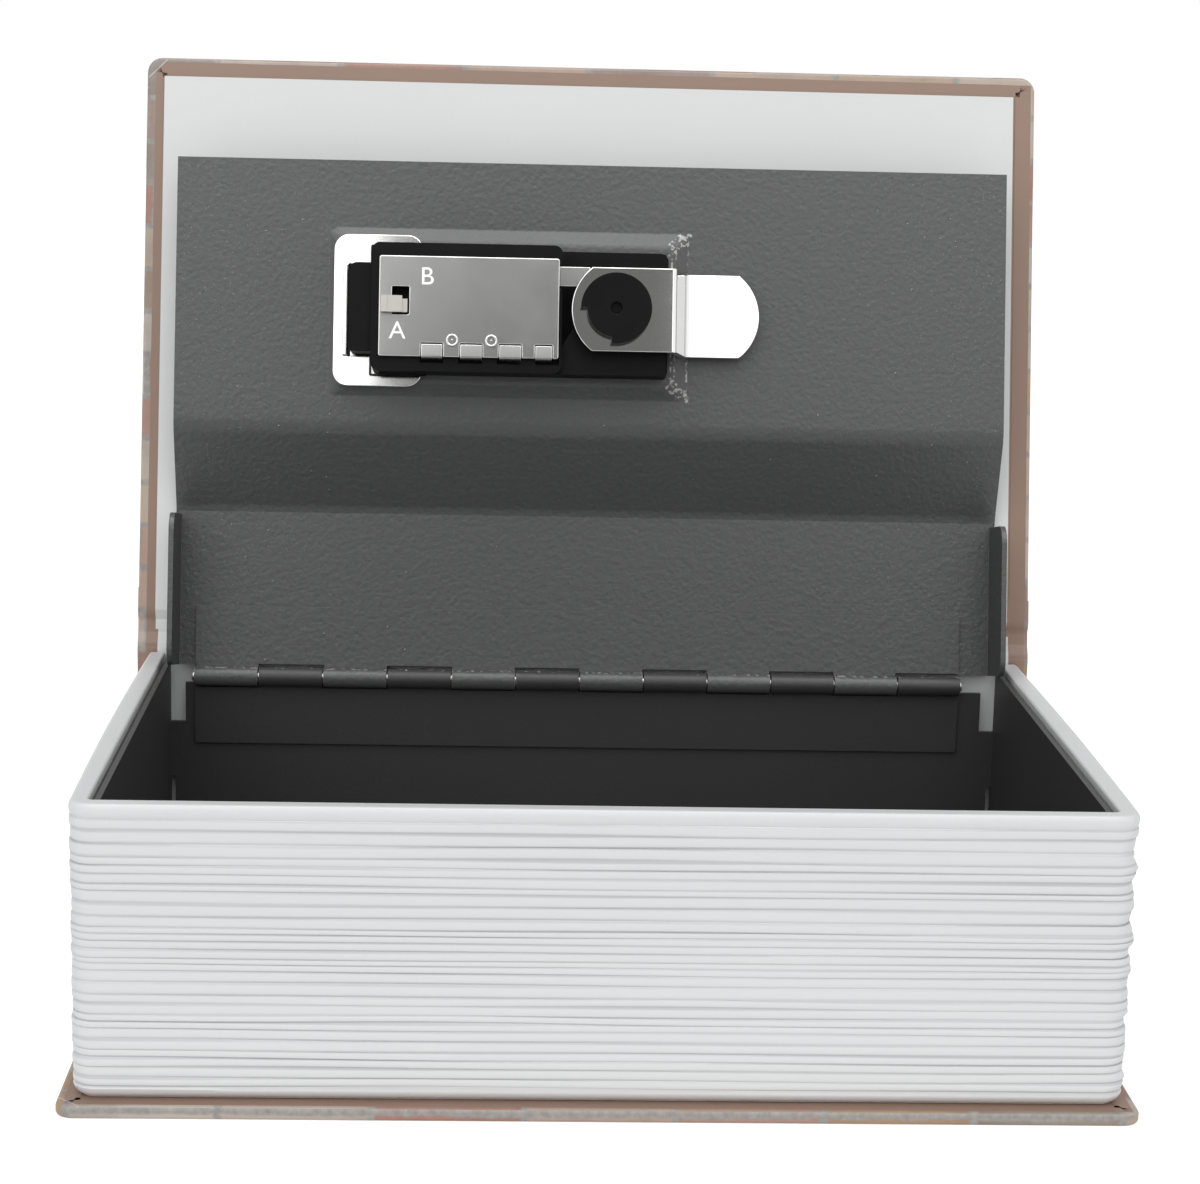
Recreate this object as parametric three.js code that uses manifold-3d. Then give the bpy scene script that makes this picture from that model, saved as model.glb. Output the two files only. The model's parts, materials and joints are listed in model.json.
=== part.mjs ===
// A book diversion safe: a steel cash tray with a combination lock, hidden in a dummy book.
// It stands as in use, with the front cover and the steel lid both open.
// Millimetres. +Z up, +X to the right, +Y from the opening side towards the spine.
// The origin is the centre of the back cover's underside.
// Pieces that swing are drawn in their closed place, in a group that turns them open.

import * as THREE from 'three';
import { mergeVertices } from 'three/addons/utils/BufferGeometryUtils.js';
import Module from 'manifold-3d';

// Book case
const BOOK_WIDTH = 180;
const BOOK_DEPTH = 117.4;
const BOARD_THICKNESS = 2.2;
const BOARD_CORNER_RADIUS = 3;
const BOARD_EDGE_ROUNDING = 0.4;
const PAPER_THICKNESS = 0.3;
const TURN_IN = 4;
const FOLD_THICKNESS = 1.2;
const FOLD_WIDTH = 4.2;
const BOARD_TO_FOLD = 1.2;
const COVER_OPENING = 102.4;

// Dummy page block
const BLOCK_HEIGHT = 50.5;
const BLOCK_WALL = 3.2;
const BLOCK_CORNER_RADIUS = 4;
const BLOCK_FOOT_RADIUS = 2.5;
const BLOCK_SIDE_BOW = 0.8;
const BLOCK_RIGHT_STEP = 0.9;
const NOSE_EVERY = 4;
const NOSE_HEIGHT = 0.6;
const FRONT_OVERHANG = 2.9;
const SIDE_OVERHANG = 2.5;
const PAGE_BUNDLES = 27;
const PAGE_GROOVE = 0.4;
const PAGE_STAGGER = 0.22;
const TOP_LIP = 2.6;

// Steel tray, lid and piano hinge
const SHEET = 1;
const SIDE_WALL_DROP = 1;
const FLANGE_DEPTH = 11;
const CORNER_NOTCH_WIDTH = 3;
const CORNER_NOTCH_DEPTH = 8;
const RELIEF_SLOT_WIDTH = 0.9;
const RELIEF_SLOT_TOP = 28;
const RELIEF_SLOT_FOOT = 6;
const HINGE_SETBACK = 5.4;
const HINGE_DROP = 3.5;
const HINGE_LEFT_END = 4.9;
const HINGE_RIGHT_END = 7.7;
const KNUCKLES = 12;
const KNUCKLE_RADIUS = 1.9;
const KNUCKLE_GAP = 0.25;
const PIN_RADIUS = 1;
const LEAF_DEPTH = 14;
const LEAF_THICKNESS = 0.8;
const LID_REAR_PANEL = 31.5;
const LID_JOG_RUN = 16;
const LID_JOG_DROP = 8.6;
const LID_BEND_RADIUS = 1.6;
const LID_FLANGE_DEPTH = 13.7;
const LID_FLANGE_CORNER = 3.5;
const LID_REAR_CLEARANCE = 2.2;
const TONGUE_CLEARANCE = 0.5;

// Combination lock
const LOCK_TO_EDGE = 30;
const LOCK_PIVOT_X = 4;
const PAD_HEIGHT = 1.4;
const PAD_BEVEL = 2.8;
const PAD_WIDTH = 33.8;
const PAD_LEFT = 56.5;
const PAD_RIGHT = 15;
const HOUSING_LEFT = 47.5;
const HOUSING_RIGHT = 10.8;
const HOUSING_WIDTH = 25;
const HOUSING_DEPTH = 10;
const HOUSING_STEP = 1.6;
const HOUSING_CORNER = 1.6;
const HOUSING_CAM_RADIUS = 10.1;
const HOUSING_BOSS_RADIUS = 5.4;
const GRIP_RIDGES = 3;
const GRIP_RIDGE_RADIUS = 0.4;
const GRIP_RIDGE_PITCH = 1.5;
const GRIP_RIDGE_LENGTH = 9;
const END_LUG_LENGTH = 4.5;
const END_LUG_WIDTH = 17.4;
const COVER_PLATE_LENGTH = 35;
const COVER_PLATE_WIDTH = 19.6;
const COVER_PLATE_THICKNESS = 0.8;
const COVER_PLATE_TO_PIVOT = 11;
const COVER_PLATE_CORNER = 0.6;
const PLATE_TABS = 4;
const PLATE_TAB_FROM_EDGE = 10.35;
const PLATE_TAB_PITCH = 7.5;
const PLATE_TAB_WIDTH = 4;
const PLATE_TAB_LENGTH = 3.2;
const PLATE_TAB_REACH = 0.8;
const PLATE_TAB_FOOT = 2.4;
const PLATE_TAB_SLIT = 0.3;
const PLATE_DIMPLES = 2;
const PLATE_DIMPLE_RADIUS = 1.1;
const PLATE_DIMPLE_HEIGHT = 0.6;
const PLATE_DIMPLE_FROM_EDGE = 3.9;
const PLATE_EAR_NEAR = 4.6;
const PLATE_EAR_FAR = 8.4;
const PLATE_EAR_LENGTH = 6;
const PLATE_EAR_DROP = 1.6;
const CLIP_LENGTH = 17.5;
const CLIP_WIDTH = 30;
const CLIP_THICKNESS = 1;
const CLIP_CORNER = 3;
const CLIP_BACK_WIDTH = 3.2;
const CLIP_LIP_HEIGHT = 1;
const FACEPLATE_THICKNESS = 2.5;
const FACEPLATE_CORNER = 3;
const DIALS = 3;
const DIAL_PITCH = 7.5;
const DIAL_TO_PIVOT = 16.4;
const DIAL_RADIUS = 6;
const DIAL_WIDTH = 4.9;
const DIAL_PROUD = 1.5;
const AXLE_RADIUS = 1;
const AXLE_BEARING = 2.5;
const DIAL_POSITIONS = 10;
const DIAL_GROOVE_DEPTH = 0.5;
const DIAL_GROOVE_SHARE = 0.24;
const CAM_WIDTH = 16.4;
const CAM_THICKNESS = 1.4;
const CAM_REACH = 28.8;
const CAM_TAIL = 8.6;
const CAM_BEND_NEAR = 10.4;
const CAM_BEND_RUN = 3;
const CAM_END_BULGE = 4;
const SPINDLE_RADIUS = 3;
const CAM_SCREW_RADIUS = 6.9;
const CAM_SCREW_HEIGHT = 2.4;
const CAM_SCREW_STOP_FROM = 98;
const CAM_SCREW_STOP_TO = 180;
const CAM_SCREW_STOP_DEPTH = 1.2;
const CAM_SCREW_SOCKET_RADIUS = 1.3;
const CAM_SCREW_SOCKET_DEPTH = 1.2;
const KNOB_RADIUS = 8;
const KNOB_HEIGHT = 6;
const KNOB_SKIRT_HEIGHT = 2.4;
const KNOB_EDGE = 0.6;
const KNOB_BAR_WIDTH = 4;
const KNOB_BAR_INSET = 1;
const KNOB_BAR_ROUND = 1.6;
const RESET_FROM_EDGE = 4.2;
const RESET_TRAVEL = 2.2;
const RESET_STEM_LENGTH = 2.7;
const RESET_STEM_WIDTH = 2.6;
const RESET_TAB_REACH = 2.4;
const RESET_TAB_OVERLAP = 1.7;
const RESET_TAB_RISE = 0.6;
const RESET_TAB_THICKNESS = 0.8;

// Clearances
const SEAT_GAP = 0.3;
const RUNNING_GAP = 0.15;
const LID_SIDE_GAP = 0.6;
const LID_FRONT_GAP = 0.6;
const COVER_GAP = 0.3;

// How far a cutting tool reaches past what it cuts
const OVER = 1;

// Levels and places worked out from the sizes above, all with the book closed
const frontEdge = -BOOK_DEPTH / 2;
const spineFace = BOOK_DEPTH / 2;
const blockTop = BOARD_THICKNESS + BLOCK_HEIGHT;
const coverInside = blockTop + COVER_GAP;
const coverBoardBottom = coverInside + PAPER_THICKNESS + SEAT_GAP;
const coverTop = coverBoardBottom + BOARD_THICKNESS;
const foldHeight = coverTop - FOLD_THICKNESS / 2;
const foldY = spineFace - FOLD_THICKNESS / 2;
const coverHingeY = foldY - FOLD_WIDTH;
const boardRear = coverHingeY - BOARD_TO_FOLD;
const liningFace = spineFace - BOARD_THICKNESS - PAPER_THICKNESS;

const blockFront = frontEdge + FRONT_OVERHANG;
const blockRear = liningFace - SEAT_GAP;
const blockHalf = BOOK_WIDTH / 2 - SIDE_OVERHANG;

const trayHalf = blockHalf - BLOCK_WALL - SEAT_GAP;
const trayFront = blockFront + BLOCK_WALL + SEAT_GAP;
const hingeY = blockRear - HINGE_SETBACK;
const hingeZ = blockTop - HINGE_DROP;
const trayRearInside = hingeY + KNUCKLE_RADIUS;
const trayRear = trayRearInside + SHEET;
const trayRearTop = hingeZ - KNUCKLE_RADIUS;
const trayFloor = BOARD_THICKNESS + SHEET;
const hingeLength = 2 * (trayHalf - SHEET) - HINGE_LEFT_END - HINGE_RIGHT_END;
const hingeMiddle = (HINGE_LEFT_END - HINGE_RIGHT_END) / 2;

const lidHalf = trayHalf - SHEET - LID_SIDE_GAP;
const lidFront = blockFront + BLOCK_WALL + LID_FRONT_GAP;
const lidRear = hingeY - LID_REAR_CLEARANCE;
const panelInside = hingeZ + KNUCKLE_RADIUS + SEAT_GAP;
const lidInside = panelInside - LID_JOG_DROP;
const flangeTop = lidInside - SEAT_GAP;

const lockY = lidFront + LOCK_TO_EDGE;
const padInside = lidInside - PAD_HEIGHT;
const recessFloor = padInside + SHEET;
const faceplateBottom = recessFloor + SEAT_GAP;
const faceplateTop = faceplateBottom + FACEPLATE_THICKNESS;
const housingTop = faceplateBottom - SEAT_GAP;
const housingBottom = lidInside - HOUSING_DEPTH;
const camSeat = housingBottom + HOUSING_STEP;
const dialZ = faceplateTop + DIAL_PROUD - DIAL_RADIUS;
const dialWell = DIAL_RADIUS + 2 * SEAT_GAP;
const tongueTop = flangeTop - SHEET - TONGUE_CLEARANCE;
const camTop = housingBottom - 2 * SEAT_GAP;
const plateRight = LOCK_PIVOT_X - COVER_PLATE_TO_PIVOT;
const plateLeft = plateRight - COVER_PLATE_LENGTH;
const plateRearEdge = lockY + COVER_PLATE_WIDTH / 2;
const plateBottom = housingBottom - SEAT_GAP - COVER_PLATE_THICKNESS;
const dialX = (i) => LOCK_PIVOT_X - DIAL_TO_PIVOT - (DIALS - 1 - i) * DIAL_PITCH;
const resetX = plateLeft + RESET_FROM_EDGE;
const tabX = (i) => plateLeft + PLATE_TAB_FROM_EDGE + i * PLATE_TAB_PITCH;

// Solid modelling helpers
const wasm = await Module();
wasm.setup();

function toSolid(geometry) {
  const bare = geometry.clone();
  bare.deleteAttribute('normal');
  bare.deleteAttribute('uv');
  const merged = mergeVertices(bare, 1e-4);
  return new wasm.Manifold(new wasm.Mesh({
    numProp: 3,
    vertProperties: Float32Array.from(merged.attributes.position.array),
    triVerts: Uint32Array.from(merged.index.array),
  }));
}

function toGeometry(solid) {
  const mesh = solid.getMesh();
  const geometry = new THREE.BufferGeometry();
  geometry.setAttribute('position', new THREE.BufferAttribute(Float32Array.from(mesh.vertProperties), 3));
  geometry.setIndex(new THREE.BufferAttribute(Uint32Array.from(mesh.triVerts), 1));
  geometry.computeVertexNormals();
  return geometry;
}

function join(...pieces) {
  return toGeometry(pieces.map(toSolid).reduce((whole, piece) => whole.add(piece)));
}

function cut(body, ...tools) {
  return toGeometry(tools.map(toSolid).reduce((whole, tool) => whole.subtract(tool), toSolid(body)));
}

// A block between two corners
function block(x0, x1, y0, y1, z0, z1) {
  return new THREE.BoxGeometry(x1 - x0, y1 - y0, z1 - z0)
    .translate((x0 + x1) / 2, (y0 + y1) / 2, (z0 + z1) / 2);
}

// A flat shape in X and Y, given thickness from z0 to z1
function slab(shape, z0, z1, curveSegments = 6) {
  const options = { depth: z1 - z0, bevelEnabled: false, curveSegments };
  return new THREE.ExtrudeGeometry(shape, options).translate(0, 0, z0);
}

// A section drawn in Y and Z, drawn out along X from x0 to x1
function alongX(shape, x0, x1, curveSegments = 6) {
  const toYZ = new THREE.Matrix4().makeBasis(
    new THREE.Vector3(0, 1, 0),
    new THREE.Vector3(0, 0, 1),
    new THREE.Vector3(1, 0, 0),
  );
  const options = { depth: x1 - x0, bevelEnabled: false, curveSegments };
  return new THREE.ExtrudeGeometry(shape, options).applyMatrix4(toYZ).translate(x0, 0, 0);
}

function rodAlongX(radius, x0, x1, y, z, sides = 16) {
  return new THREE.CylinderGeometry(radius, radius, x1 - x0, sides)
    .rotateZ(-Math.PI / 2)
    .translate((x0 + x1) / 2, y, z);
}

function rodAlongZ(radius, z0, z1, x, y, sides = 24) {
  return new THREE.CylinderGeometry(radius, radius, z1 - z0, sides)
    .rotateX(Math.PI / 2)
    .translate(x, y, (z0 + z1) / 2);
}

function roundedRectangle(x0, x1, y0, y1, front, rear = front) {
  const shape = new THREE.Shape();
  shape.moveTo(x0 + front, y0);
  shape.lineTo(x1 - front, y0);
  shape.absarc(x1 - front, y0 + front, front, -Math.PI / 2, 0);
  if (rear > 0) {
    shape.absarc(x1 - rear, y1 - rear, rear, 0, Math.PI / 2);
    shape.absarc(x0 + rear, y1 - rear, rear, Math.PI / 2, Math.PI);
  } else {
    shape.lineTo(x1, y1);
    shape.lineTo(x0, y1);
  }
  shape.absarc(x0 + front, y0 + front, front, Math.PI, 1.5 * Math.PI);
  return shape;
}

// Outlines of equal point count stacked from the lowest to the highest
function loft(rings) {
  const count = rings[0].length;
  const positions = rings.flat().flatMap((point) => point.toArray());
  const index = [];
  for (let level = 0; level + 1 < rings.length; level += 1) {
    for (let i = 0; i < count; i += 1) {
      const next = (i + 1) % count;
      const low = level * count;
      const high = low + count;
      index.push(low + i, low + next, high + next, low + i, high + next, high + i);
    }
  }
  const flat = rings[0].map((point) => new THREE.Vector2(point.x, point.y));
  const top = (rings.length - 1) * count;
  for (const [a, b, c] of THREE.ShapeUtils.triangulateShape(flat, [])) {
    index.push(a, c, b, top + a, top + b, top + c);
  }
  const geometry = new THREE.BufferGeometry();
  geometry.setAttribute('position', new THREE.Float32BufferAttribute(positions, 3));
  geometry.setIndex(index);
  geometry.computeVertexNormals();
  return geometry;
}

// A straight-sided mound on a rectangle, narrower at the end z1
function mound(x0, x1, y0, y1, z0, z1, bevel) {
  const ring = (inset, z) => [
    new THREE.Vector3(x0 + inset, y0 + inset, z),
    new THREE.Vector3(x1 - inset, y0 + inset, z),
    new THREE.Vector3(x1 - inset, y1 - inset, z),
    new THREE.Vector3(x0 + inset, y1 - inset, z),
  ];
  const rings = [ring(0, z0), ring(bevel, z1)];
  return loft(z1 > z0 ? rings : rings.reverse());
}

// Book case
function coverBoard(z0) {
  const edge = BOARD_EDGE_ROUNDING;
  const outline = roundedRectangle(
    -BOOK_WIDTH / 2 + edge,
    BOOK_WIDTH / 2 - edge,
    frontEdge + edge,
    boardRear - edge,
    BOARD_CORNER_RADIUS - edge,
    0,
  );
  const options = {
    depth: BOARD_THICKNESS - 2 * edge,
    bevelThickness: edge,
    bevelSize: edge,
    bevelSegments: 2,
    curveSegments: 5,
  };
  return new THREE.ExtrudeGeometry(outline, options).translate(0, 0, z0 + edge);
}

function spineBoard() {
  const bottom = FOLD_THICKNESS + SEAT_GAP;
  const top = foldHeight - FOLD_THICKNESS / 2 - SEAT_GAP;
  const round = BOARD_THICKNESS / 3;
  const section = roundedRectangle(spineFace - BOARD_THICKNESS, spineFace, bottom, top, round);
  return alongX(section, -BOOK_WIDTH / 2, BOOK_WIDTH / 2, 3);
}

function spineLining() {
  const half = BOOK_WIDTH / 2 - TURN_IN;
  const top = foldHeight - FOLD_THICKNESS / 2 - SEAT_GAP - BOARD_THICKNESS / 3;
  return block(-half, half, liningFace, liningFace + PAPER_THICKNESS, BOARD_THICKNESS + SEAT_GAP, top);
}

// The flexible strip between a cover board and the spine, with round folds at both sides
function foldStrip(z) {
  const round = FOLD_THICKNESS / 2;
  const section = new THREE.Shape();
  section.absarc(foldY, z, round, -Math.PI / 2, Math.PI / 2);
  section.absarc(coverHingeY, z, round, Math.PI / 2, 1.5 * Math.PI);
  return alongX(section, -BOOK_WIDTH / 2, BOOK_WIDTH / 2, 6);
}

function frontEndpaper() {
  const half = BOOK_WIDTH / 2 - TURN_IN;
  const sheet = roundedRectangle(-half, half, frontEdge + TURN_IN, boardRear, 1, 0);
  return slab(sheet, coverInside, coverInside + PAPER_THICKNESS, 3);
}

// Plan of the page block: three walls, open towards the spine, the sides bowed a little.
// Bundles that stand proud show as steps along the right side.
function blockPlan(offset, z, step = 0) {
  const bowSteps = 4;
  const cornerSteps = 3;
  const half = blockHalf + offset;
  const front = blockFront - offset;
  const round = BLOCK_CORNER_RADIUS;
  const side = [];
  for (let i = 0; i <= bowSteps; i += 1) {
    const along = i / bowSteps;
    const bow = BLOCK_SIDE_BOW * Math.sin(Math.PI * along);
    side.push([half + bow, front + round + (blockRear - front - round) * along]);
  }
  const corner = [];
  for (let i = 0; i < cornerSteps; i += 1) {
    const angle = (Math.PI / 2) * (1 - i / cornerSteps);
    corner.push([half - round + round * Math.cos(angle), front + round - round * Math.sin(angle)]);
  }
  const plain = [...corner, ...side];
  const left = plain.map(([x, y]) => [-x, y]).reverse();
  const right = plain.map(([x, y]) => [x + (step * (x - half + round)) / round, y]);
  const innerHalf = blockHalf - BLOCK_WALL;
  const innerFront = blockFront + BLOCK_WALL;
  const inner = [
    [innerHalf, blockRear],
    [innerHalf, innerFront],
    [-innerHalf, innerFront],
    [-innerHalf, blockRear],
  ];
  return [...left, ...right, ...inner].map(([x, y]) => new THREE.Vector3(x, y, z));
}

// Bundles of pages of uneven thickness, each with a hollow under its crest
function pageLevels() {
  const unevenness = (i) => 0.3 * Math.sin(2.4 * i) + 0.2 * Math.sin(5.1 * i);
  const weights = Array.from({ length: PAGE_BUNDLES }, (_, i) => 1 + unevenness(i));
  const total = weights.reduce((sum, weight) => sum + weight);
  const stack = BLOCK_HEIGHT - BLOCK_FOOT_RADIUS - TOP_LIP;
  const levels = [];
  let z = BOARD_THICKNESS + BLOCK_FOOT_RADIUS;
  weights.forEach((weight, i) => {
    const thickness = (weight / total) * stack;
    const proud = i % NOSE_EVERY === 0 ? BLOCK_RIGHT_STEP : BLOCK_RIGHT_STEP / 4;
    const crest = -PAGE_STAGGER * (0.5 + 0.5 * Math.sin(3.7 * i));
    levels.push([-PAGE_GROOVE, z, BLOCK_RIGHT_STEP / 4]);
    levels.push([crest, z + thickness * NOSE_HEIGHT, proud]);
    z += thickness;
  });
  return levels;
}

function pageBlock() {
  const footSteps = 3;
  const levels = [];
  for (let i = 0; i < footSteps; i += 1) {
    const angle = (Math.PI / 2) * (i / footSteps);
    const inset = BLOCK_FOOT_RADIUS * (1 - Math.sin(angle));
    const rise = BLOCK_FOOT_RADIUS * (1 - Math.cos(angle));
    levels.push([-Math.min(inset, BLOCK_WALL / 2), BOARD_THICKNESS + rise]);
  }
  levels.push(...pageLevels());
  const lipStep = BLOCK_RIGHT_STEP / 2;
  levels.push([-PAGE_GROOVE, blockTop - TOP_LIP, BLOCK_RIGHT_STEP / 4]);
  levels.push([0, blockTop - TOP_LIP + 2 * PAGE_GROOVE, lipStep]);
  levels.push([0, blockTop - 2 * PAGE_GROOVE, lipStep]);
  levels.push([-2 * PAGE_GROOVE, blockTop, lipStep]);
  return loft(levels.map(([offset, z, step]) => blockPlan(offset, z, step)));
}

// Steel tray: folded walls, a return flange along the front, notches at the rear corners
function cashTray() {
  const bottom = BOARD_THICKNESS;
  const sideTop = blockTop - SIDE_WALL_DROP;
  const shell = block(-trayHalf, trayHalf, trayFront, trayRear, bottom, sideTop);
  const inner = trayHalf - SHEET;
  const tools = [
    block(-inner, inner, trayFront + SHEET, trayRearInside, trayFloor, sideTop + OVER),
    block(-inner, inner, trayRearInside - OVER, trayRear + OVER, trayRearTop, sideTop + OVER),
    block(-inner, inner, trayFront - OVER, trayFront + 2 * SHEET, flangeTop, sideTop + OVER),
  ];
  for (const side of [-1, 1]) {
    const outer = side * inner;
    const notchEdge = side * (inner - CORNER_NOTCH_WIDTH);
    const slotEdge = side * (inner - RELIEF_SLOT_WIDTH);
    const notchFoot = trayRearTop - CORNER_NOTCH_DEPTH;
    const rearCut = (edge, z0, z1) => {
      const [x0, x1] = [Math.min(outer, edge), Math.max(outer, edge)];
      return block(x0, x1, trayRearInside - OVER, trayRear + OVER, z0, z1);
    };
    tools.push(rearCut(notchEdge, notchFoot, sideTop));
    tools.push(rearCut(slotEdge, RELIEF_SLOT_FOOT, RELIEF_SLOT_TOP));
  }
  const flange = block(-inner, inner, trayFront, trayFront + FLANGE_DEPTH, flangeTop - SHEET, flangeTop);
  return join(cut(shell, ...tools), flange);
}

// Piano hinge. Both leaves are one piece turned end for end, so their knuckles mesh.
const knucklePitch = hingeLength / KNUCKLES;

// A leaf drawn about the pin's axis and the hinge's middle, hanging down behind the pin
function hingeLeaf() {
  const half = hingeLength / 2;
  const rear = KNUCKLE_RADIUS;
  const relief = KNUCKLE_RADIUS + 2 * SEAT_GAP;
  const knuckles = [];
  const reliefs = [];
  for (let i = 0; i < KNUCKLES; i += 1) {
    const x0 = -half + i * knucklePitch;
    const x1 = x0 + knucklePitch;
    if (i % 2 === 1) {
      const gap = KNUCKLE_GAP / 2;
      knuckles.push(rodAlongX(KNUCKLE_RADIUS, x0 + gap, x1 - gap, 0, 0));
    } else {
      reliefs.push(block(x0 - KNUCKLE_GAP, x1 + KNUCKLE_GAP, -rear, rear + OVER, -relief, OVER));
    }
  }
  const leaf = block(-half, half, rear - LEAF_THICKNESS, rear, -LEAF_DEPTH, 0);
  const bore = rodAlongX(PIN_RADIUS + RUNNING_GAP, -half - OVER, half + OVER, 0, 0);
  return cut(join(cut(leaf, ...reliefs), ...knuckles), bore);
}

// The same leaf lying forward over the pin, under the closed lid
function lidHingeLeaf() {
  return hingeLeaf().rotateX(Math.PI / 2).rotateZ(Math.PI);
}

function hingePin() {
  const half = hingeLength / 2 + PIN_RADIUS / 2;
  return rodAlongX(PIN_RADIUS, -half, half, 0, 0);
}

// Steel lid: a folded sheet whose main part is sunk, with side flanges at the rear part
function sheetSection(points) {
  const lower = [];
  const upper = [];
  points.forEach(([y, z], i) => {
    const before = points[Math.max(i - 1, 0)];
    const after = points[Math.min(i + 1, points.length - 1)];
    const direction = new THREE.Vector2(after[0] - before[0], after[1] - before[1]).normalize();
    lower.push(new THREE.Vector2(y, z));
    upper.push(new THREE.Vector2(y - direction.y * SHEET, z + direction.x * SHEET));
  });
  return new THREE.Shape([...lower, ...upper.reverse()]);
}

// Rounds the corner of a bent line with a few points on a curve
function bend(corner, from, to, radius) {
  const at = new THREE.Vector2(...corner);
  const inward = new THREE.Vector2(...from).sub(at).setLength(radius).add(at);
  const outward = new THREE.Vector2(...to).sub(at).setLength(radius).add(at);
  const curve = new THREE.QuadraticBezierCurve(inward, at, outward);
  return curve.getPoints(3).map((point) => [point.x, point.y]);
}

function lidSheet() {
  const jogRear = [lidRear - LID_REAR_PANEL, panelInside];
  const jogFront = [jogRear[0] - LID_JOG_RUN, lidInside];
  const front = [lidFront, lidInside];
  const rear = [lidRear, panelInside];
  const line = [
    front,
    ...bend(jogFront, front, jogRear, LID_BEND_RADIUS),
    ...bend(jogRear, jogFront, rear, LID_BEND_RADIUS),
    rear,
  ];
  return alongX(sheetSection(line), -lidHalf, lidHalf);
}

function lidSideFlange(x0) {
  const rear = lidRear;
  const front = lidRear - LID_REAR_PANEL;
  const top = panelInside + SHEET / 2;
  const bottom = panelInside - LID_FLANGE_DEPTH;
  const section = roundedRectangle(front, rear, bottom, top, LID_FLANGE_CORNER, 0);
  return alongX(section, x0, x0 + SHEET, 4);
}

const padX0 = LOCK_PIVOT_X - PAD_LEFT;
const padX1 = LOCK_PIVOT_X + PAD_RIGHT;
const padY0 = lockY - PAD_WIDTH / 2;
const padY1 = lockY + PAD_WIDTH / 2;
const housingX0 = LOCK_PIVOT_X - HOUSING_LEFT;
const housingX1 = LOCK_PIVOT_X + HOUSING_RIGHT;
const lugX0 = housingX0 - END_LUG_LENGTH;

function lidPanel() {
  const pad = mound(padX0, padX1, padY0, padY1, lidInside + SHEET / 4, padInside, PAD_BEVEL);
  const recess = mound(
    padX0 + SHEET / 2,
    padX1 - SHEET / 2,
    padY0 + SHEET / 2,
    padY1 - SHEET / 2,
    lidInside + SHEET + SEAT_GAP / 3,
    recessFloor,
    PAD_BEVEL,
  );
  const holeHalf = HOUSING_WIDTH / 2 + SEAT_GAP;
  const hole = block(
    lugX0 - SEAT_GAP,
    housingX1 + SEAT_GAP,
    lockY - holeHalf,
    lockY + holeHalf,
    padInside - OVER,
    lidInside + SHEET + OVER,
  );
  const whole = join(lidSheet(), lidSideFlange(-lidHalf), lidSideFlange(lidHalf - SHEET), pad);
  return cut(whole, recess, hole);
}

// Combination lock, at its place in the closed lid
// The window that the reset lever slides in, cut through what lies between z0 and z1
function resetWindow(z0, z1) {
  const halfX = RESET_STEM_LENGTH / 2 + SEAT_GAP;
  const halfY = RESET_STEM_WIDTH / 2 + SEAT_GAP;
  return block(resetX - halfX, resetX + halfX, lockY - halfY - RESET_TRAVEL, lockY + halfY, z0, z1);
}

// The place of the plate's low ear beside the knob's axis, widened by a gap on each side
function earSpace(x0, x1, gap, z0, z1) {
  return block(x0 - gap, x1 + gap, lockY - PLATE_EAR_FAR - gap, lockY - PLATE_EAR_NEAR + gap, z0, z1);
}

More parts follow.
